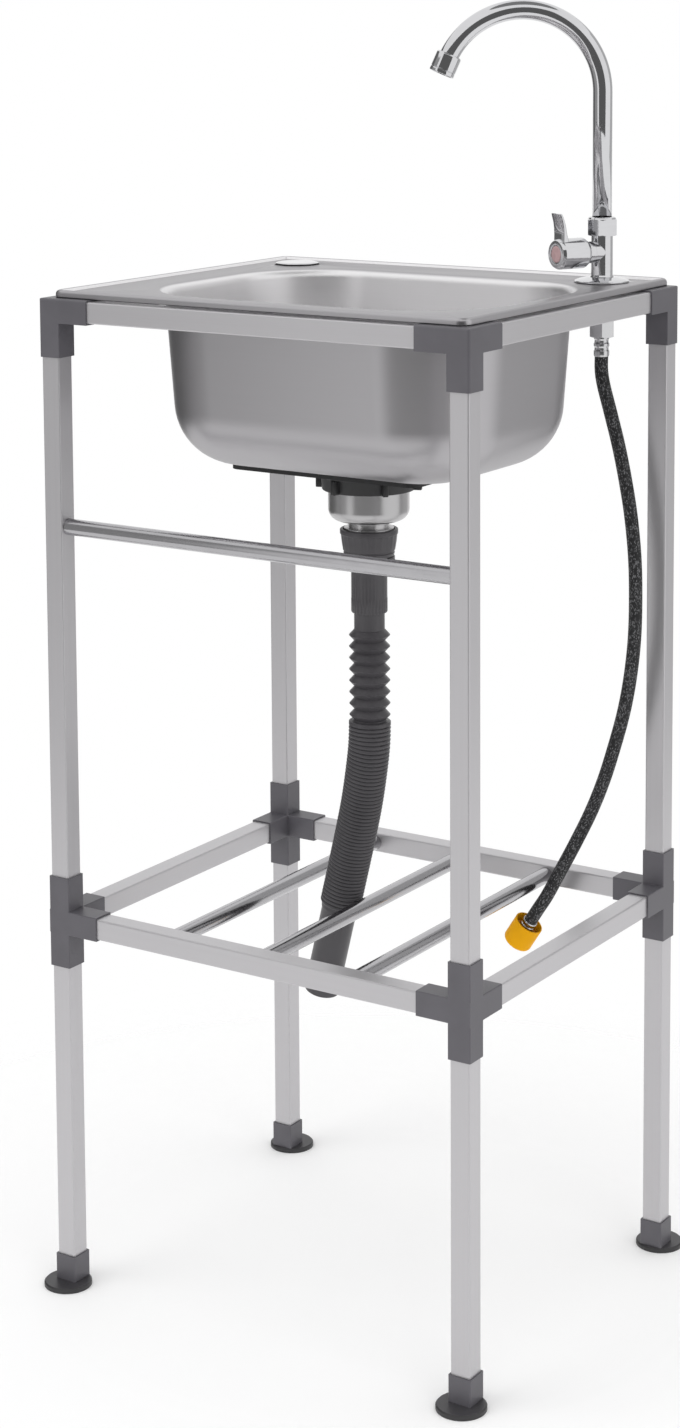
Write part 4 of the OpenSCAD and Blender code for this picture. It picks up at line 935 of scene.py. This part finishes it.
def make_tap_fittings():
    flange = rounded([(9.3, 0.3, 0), (25, 0.3, 0.3), (25, 1.8, 0.9), (21, 3.3, 3), (13, 5, 0.8), (9.3, 5, 0),
                      (9.3, 0.3, 0)], 6)
    finished("tap_flange_disc", at_tap(turned(flange, 96), DECK_TOP), "stand", tap_chrome,
             replaces=["tap_flange"])
    nut = hexagon(nut_outline(30, 11.1, 15), 30, 11.5)
    collar = rounded([(9.1, 15, 0), (13, 15, 0), (12.2, 16.4, 0.6), (10.8, 17, 0.5), (9.1, 17, 0),
                      (9.1, 15, 0)])
    finished("spout_nut_hexagon", at_tap(turned(collar, 72, nut), DECK_TOP + 43), "stand",
             tap_chrome, sharp=25, replaces=["spout_nut"])
    under = hexagon(nut_outline(32, 9.2, 8), 32, 9.6)
    bm = turned(flat_ring(9.3, 18, 8, 10, 0.3), 72, under)
    finished("deck_nut_hexagon", at_tap(bm, DECK_TOP - 11.1), "stand", nut_steel,
             sharp=25, replaces=["deck_nut"])


def make_hole_cover():
    """Cover on the spare tap hole, with a dark ring under its disc: a painted shadow for the shade under its
    edge
    """
    place = (*COVER, DECK_TOP)
    cover = rounded([(0, 2.3, 0), (18, 2.3, 4), (21, 1.5, 0.3), (21, 1.2, 0.1), (17.4, 0.3, 0),
                     (16.9, 0.3, 0), (16.9, -8.7, 0.4), (14.9, -8.7, 0.4), (14.9, 0.9, 0), (0, 0.9, 0)], 6)
    finished("hole_cover_disc", placed(turned(cover, 72), place), "stand", tap_chrome,
             replaces=["tap_hole_cover"])
    # Black ring under the cover's disc: painted shadow along the cover's edge
    painted_shadow_ring = turned(flat_ring(17.6, 20.8, 0.1, 1.1, 0.3), 72)
    finished("hole_cover_washer", placed(painted_shadow_ring, place), "stand", rubber)


def make_spout():
    bm = bmesh.new()
    _, ring = circle(bm, SPOUT_RADIUS * MM, 40, Matrix.Translation(mm(0, 0, SPOUT_FOOT)))
    ring = pulled(bm, ring, mm(0, 0, ARCH_Z - SPOUT_FOOT))
    bmesh.ops.spin(bm, geom=ring, cent=mm(ARCH_R, 0, ARCH_Z), axis=(0, 1, 0), angle=ARCH_TURN, steps=56)
    bmesh.ops.remove_doubles(bm, verts=bm.verts, dist=1e-6)
    bmesh.ops.recalc_face_normals(bm, faces=bm.faces)
    bmesh.ops.rotate(bm, verts=bm.verts, cent=(0, 0, 0), matrix=Matrix.Rotation(SPOUT_TURN, 3, "Z"))
    bmesh.ops.translate(bm, verts=bm.verts, vec=mm(*TAP, 0))
    spout = finished("spout_arched", bm, "spout", tap_chrome, replaces=["spout"])
    wall = spout.modifiers.new("wall", "SOLIDIFY")
    wall.thickness, wall.offset = SPOUT_WALL * MM, -1


def make_aerator():
    """Sleeve over the spout's tip; its heights count from the tip, outwards"""
    reach = Vector((cos(SPOUT_TURN), sin(SPOUT_TURN), 0))
    centre = Vector((*TAP, ARCH_Z)) + reach * ARCH_R
    tip = centre + reach * ARCH_R * -cos(ARCH_TURN) + UP * ARCH_R * sin(ARCH_TURN)
    way = reach * sin(ARCH_TURN) + UP * cos(ARCH_TURN)
    skin = rounded([(9.4, -5, 0), (10.9, -5, 0.8), (11.75, -3.6, 0.6), (11.75, 9.6, 0.2), (11.35, 9.9, 0),
                    (11.35, 10.3, 0), (11.75, 10.6, 0.2), (11.75, 14, 0.7), (10.15, 14, 0.4),
                    (10.15, 0.3, 0), (9.4, 0.3, 0), (9.4, -5, 0)])
    finished("aerator_sleeve", placed(turned(skin, 72), tip, way), "spout", tap_chrome,
             replaces=["aerator_housing"])


def lever_paddle():
    """Flat lever that grows out of the drum in steps, each one thinner than the last"""
    paddle = bmesh.new()
    made = bmesh.ops.create_grid(paddle, x_segments=1, y_segments=1, size=1)
    bmesh.ops.scale(paddle, verts=made["verts"], vec=(8 * MM, 3.5 * MM, 1))
    bmesh.ops.rotate(paddle, verts=made["verts"], cent=(0, 0, 0), matrix=Matrix.Rotation(-pi / 2, 3, "X"))
    bmesh.ops.translate(paddle, verts=made["verts"], vec=mm(0, 6, 44.3))
    # Each step up the paddle: height, place along the valve, half thickness, half width
    steps = ((13, 44.7, 2.9, 8.0), (18, 45.4, 2.1, 8.0), (24, 46.1, 1.7, 8.0), (29, 47.1, 1.5, 8.0),
             (34, 48.7, 1.4, 7.8), (37, 49.9, 1.3, 7.3))
    face = paddle.faces[:]
    for up, out, thick, half in steps:
        made = bmesh.ops.extrude_face_region(paddle, geom=face)["geom"]
        verts = [g for g in made if isinstance(g, bmesh.types.BMVert)]
        bmesh.ops.delete(paddle, geom=face, context="FACES_ONLY")
        face = [g for g in made if isinstance(g, bmesh.types.BMFace)]
        middle = sum(v.co.z for v in verts) / len(verts)
        for v in verts:
            side_x = 1 if v.co.x > 0 else -1
            side_z = 1 if v.co.z > middle else -1
            v.co = mm(side_x * half, up, out + side_z * thick)
    bmesh.ops.recalc_face_normals(paddle, faces=paddle.faces)
    bmesh.ops.bevel(paddle, geom=[e for e in paddle.edges if e.calc_face_angle(0) > 0.9], offset=0.9 * MM,
                    segments=3, profile=0.5, affect="EDGES", material=-1)
    return paddle


def make_handle():
    """Drum with a lever, and the button in its end; heights count along the valve from the tap's axis"""
    drum = rounded([(0, 19.3, 0), (12, 19.3, 0.6), (14, 22.5, 1.4), (14, 48, 2), (12.3, 50.8, 1.2),
                    (7.8, 50.8, 0.5), (7.8, 49.3, 0), (0, 49.3, 0)], 6)
    bm = joined(turned(drum, 72), lever_paddle())
    finished("lever_handle", placed(bm, VALVE, VALVE_WAY), "handle", tap_chrome,
             replaces=["tap_handle"])
    button = rounded([(0, 49.4, 0), (7.6, 49.4, 0), (7.6, 50.5, 0.5), (6.2, 50.9, 1), (0, 50.9, 0)])
    finished("handle_button_disc", placed(turned(button, 48), VALVE, VALVE_WAY), "handle",
             pink, replaces=["handle_button"])


def make_inlet():
    nut = hexagon(nut_outline(25, 4.3, 17), 25, 5)
    finished("inlet_nut_hexagon", at_tap(nut, INLET_FOOT), "stand", nut_steel, sharp=25,
             replaces=["inlet_nut"])
    ferrule = turned(crimped(INLET_FOOT - FERRULE_LOW, FERRULE_RADIUS, 4.25), 48)
    finished("inlet_ferrule_crimped", at_tap(ferrule, FERRULE_LOW), "stand", nut_steel,
             replaces=["inlet_ferrule"])


make_tap_body()
make_tap_fittings()
make_hole_cover()
make_spout()
make_aerator()
make_handle()
make_inlet()


# ---------- Finishes of the pieces whose CAD shape stays ----------


def dress(names, material):
    """Gives CAD nodes a material, and leaves their meshes as they are"""
    for name in names:
        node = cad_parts[name]
        node.data.materials.clear()
        node.data.materials.append(material)


def dress_frame():
    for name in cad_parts:
        if name.startswith("leg_"):
            dress([name], steel_up)
        elif name.startswith(("top_rail_front", "top_rail_back", "shelf_rail_front", "shelf_rail_back")):
            dress([name], steel_x)
        elif name.startswith(("top_rail", "shelf_rail")):
            dress([name], steel_y)
        elif name.startswith(("top_corner", "shelf_corner")):
            dress([name], socket_plastic)
        elif name.startswith("foot_"):
            dress([name], foot_finish)
    dress(["towel_bar", "shelf_rod_left", "shelf_rod_middle", "shelf_rod_right"], rod_chrome)
    # The sound pad's black under the bowl is partly real and partly painted shadow: it stands for the dark
    # line of shade below the bowl
    dress(["sound_pad", "basket_stopper"], rubber)
    dress(["strainer_basket"], drain_steel)
    dress(["aerator_screen"], dark_plastic)
    dress(["tap_cartridge"], brass)


dress_frame()


# ---------- Studio ----------


def stage_piece(name, bm, material):
    mesh = bpy.data.meshes.new(name)
    bm.to_mesh(mesh)
    bm.free()
    mesh.materials.append(material)
    piece = bpy.data.objects.new(name, mesh)
    bpy.context.scene.collection.objects.link(piece)
    return piece


def floor_finish():
    """Pale floor that fades to clear with the distance from the stand, so that its edge never shows"""
    f = Finish("studio floor")
    place = f.add("ShaderNodeTexCoord").outputs["Object"]
    dist = f.add("ShaderNodeVectorMath", {0: place}, settings={"operation": "LENGTH"})
    fade = shade(f.tree, dist.outputs["Value"], 1.0, 0.0, 0.3, 0.75)
    return f.surface({"Alpha": fade}, Base_Color=(0.99, 0.99, 0.99, 1), Roughness=0.9)


def card_finish(name, level):
    f = Finish(name)
    shader = f.add("ShaderNodeEmission", Color=(level, level, level, 1), Strength=1.0)
    output = f.add("ShaderNodeOutputMaterial")
    f.tree.links.new(shader.outputs[0], output.inputs["Surface"])
    return f.material


def only_reflected(card):
    """Hides a card from the camera and the light, so that it shows in glossy surfaces alone"""
    card.visible_camera = card.visible_diffuse = card.visible_shadow = card.visible_transmission = False


CARD_REACH = 1.9


def make_card(name, level, start, end, height):
    """Curved upright card round the stand, between two angles in degrees: only reflections show it"""
    bm = bmesh.new()
    turn = Matrix.Rotation(radians(start), 3, "Z")
    ends = [bm.verts.new(turn @ Vector((CARD_REACH, 0, z))) for z in (0, height)]
    bmesh.ops.spin(bm, geom=ends + [bm.edges.new(ends)], cent=(0, 0, 0), axis=UP, angle=radians(end - start),
                   steps=24)
    only_reflected(stage_piece(name, bm, card_finish(name, level)))


def make_ceiling(name, level, place, radius):
    """Level disc over the stand: only reflections show it"""
    bm = bmesh.new()
    bmesh.ops.create_circle(bm, cap_ends=True, segments=64, radius=radius, matrix=Matrix.Translation(place))
    only_reflected(stage_piece(name, bm, card_finish(name, level)))


def make_lamp(name, place, size, power):
    """Disc lamp that looks at the middle of the stand and never shows as a reflection"""
    lamp = bpy.data.lights.new(name, "AREA")
    lamp.shape, lamp.size, lamp.energy = "DISK", size, power
    lamp.use_shadow = True
    piece = bpy.data.objects.new(name, lamp)
    piece.location = place
    way = Vector((0, 0, 0.5)) - Vector(place)
    piece.rotation_euler = way.to_track_quat("-Z", "Y").to_euler()
    piece.visible_glossy = False
    bpy.context.scene.collection.objects.link(piece)


def make_world():
    """White all round: full strength where it is seen or reflected, a little less as light"""
    world = bpy.data.worlds.new("studio")
    world.use_nodes = True
    bpy.context.scene.world = world
    tree = world.node_tree
    tree.nodes.clear()
    path = tree.nodes.new("ShaderNodeLightPath")
    seen = maths(tree, path.outputs["Is Camera Ray"], path.outputs["Is Glossy Ray"], "MAXIMUM")
    seen = maths(tree, seen, path.outputs["Is Transmission Ray"], "MAXIMUM")
    strength = shade(tree, seen, 0.95, 1.0, 0.0, 1.0)
    back = add_node(tree, "ShaderNodeBackground", {"Strength": strength}, Color=(1, 1, 1, 1))
    output = tree.nodes.new("ShaderNodeOutputWorld")
    tree.links.new(back.outputs[0], output.inputs["Surface"])


def make_studio():
    bm = bmesh.new()
    bmesh.ops.create_circle(bm, cap_ends=True, segments=96, radius=1.6)
    stage_piece("studio_floor", bm, floor_finish())
    make_card("card_front", 0.13, -102, -20, 2.1)
    make_card("card_side", 0.35, -165, -122, 2.1)
    make_card("card_left", 0.15, 150, 195, 2.2)
    make_card("card_right", 0.55, 38, 85, 2.2)
    make_ceiling("card_above", 0.25, (0.4, 0.15, 2.3), 0.55)
    make_lamp("key_lamp", (-1.6, -2.2, 2.6), 2.6, 20)
    make_lamp("fill_lamp", (2.4, -1.4, 1.4), 2.4, 10)
    make_world()
    bpy.context.scene.view_settings.view_transform = "Standard"


make_studio()
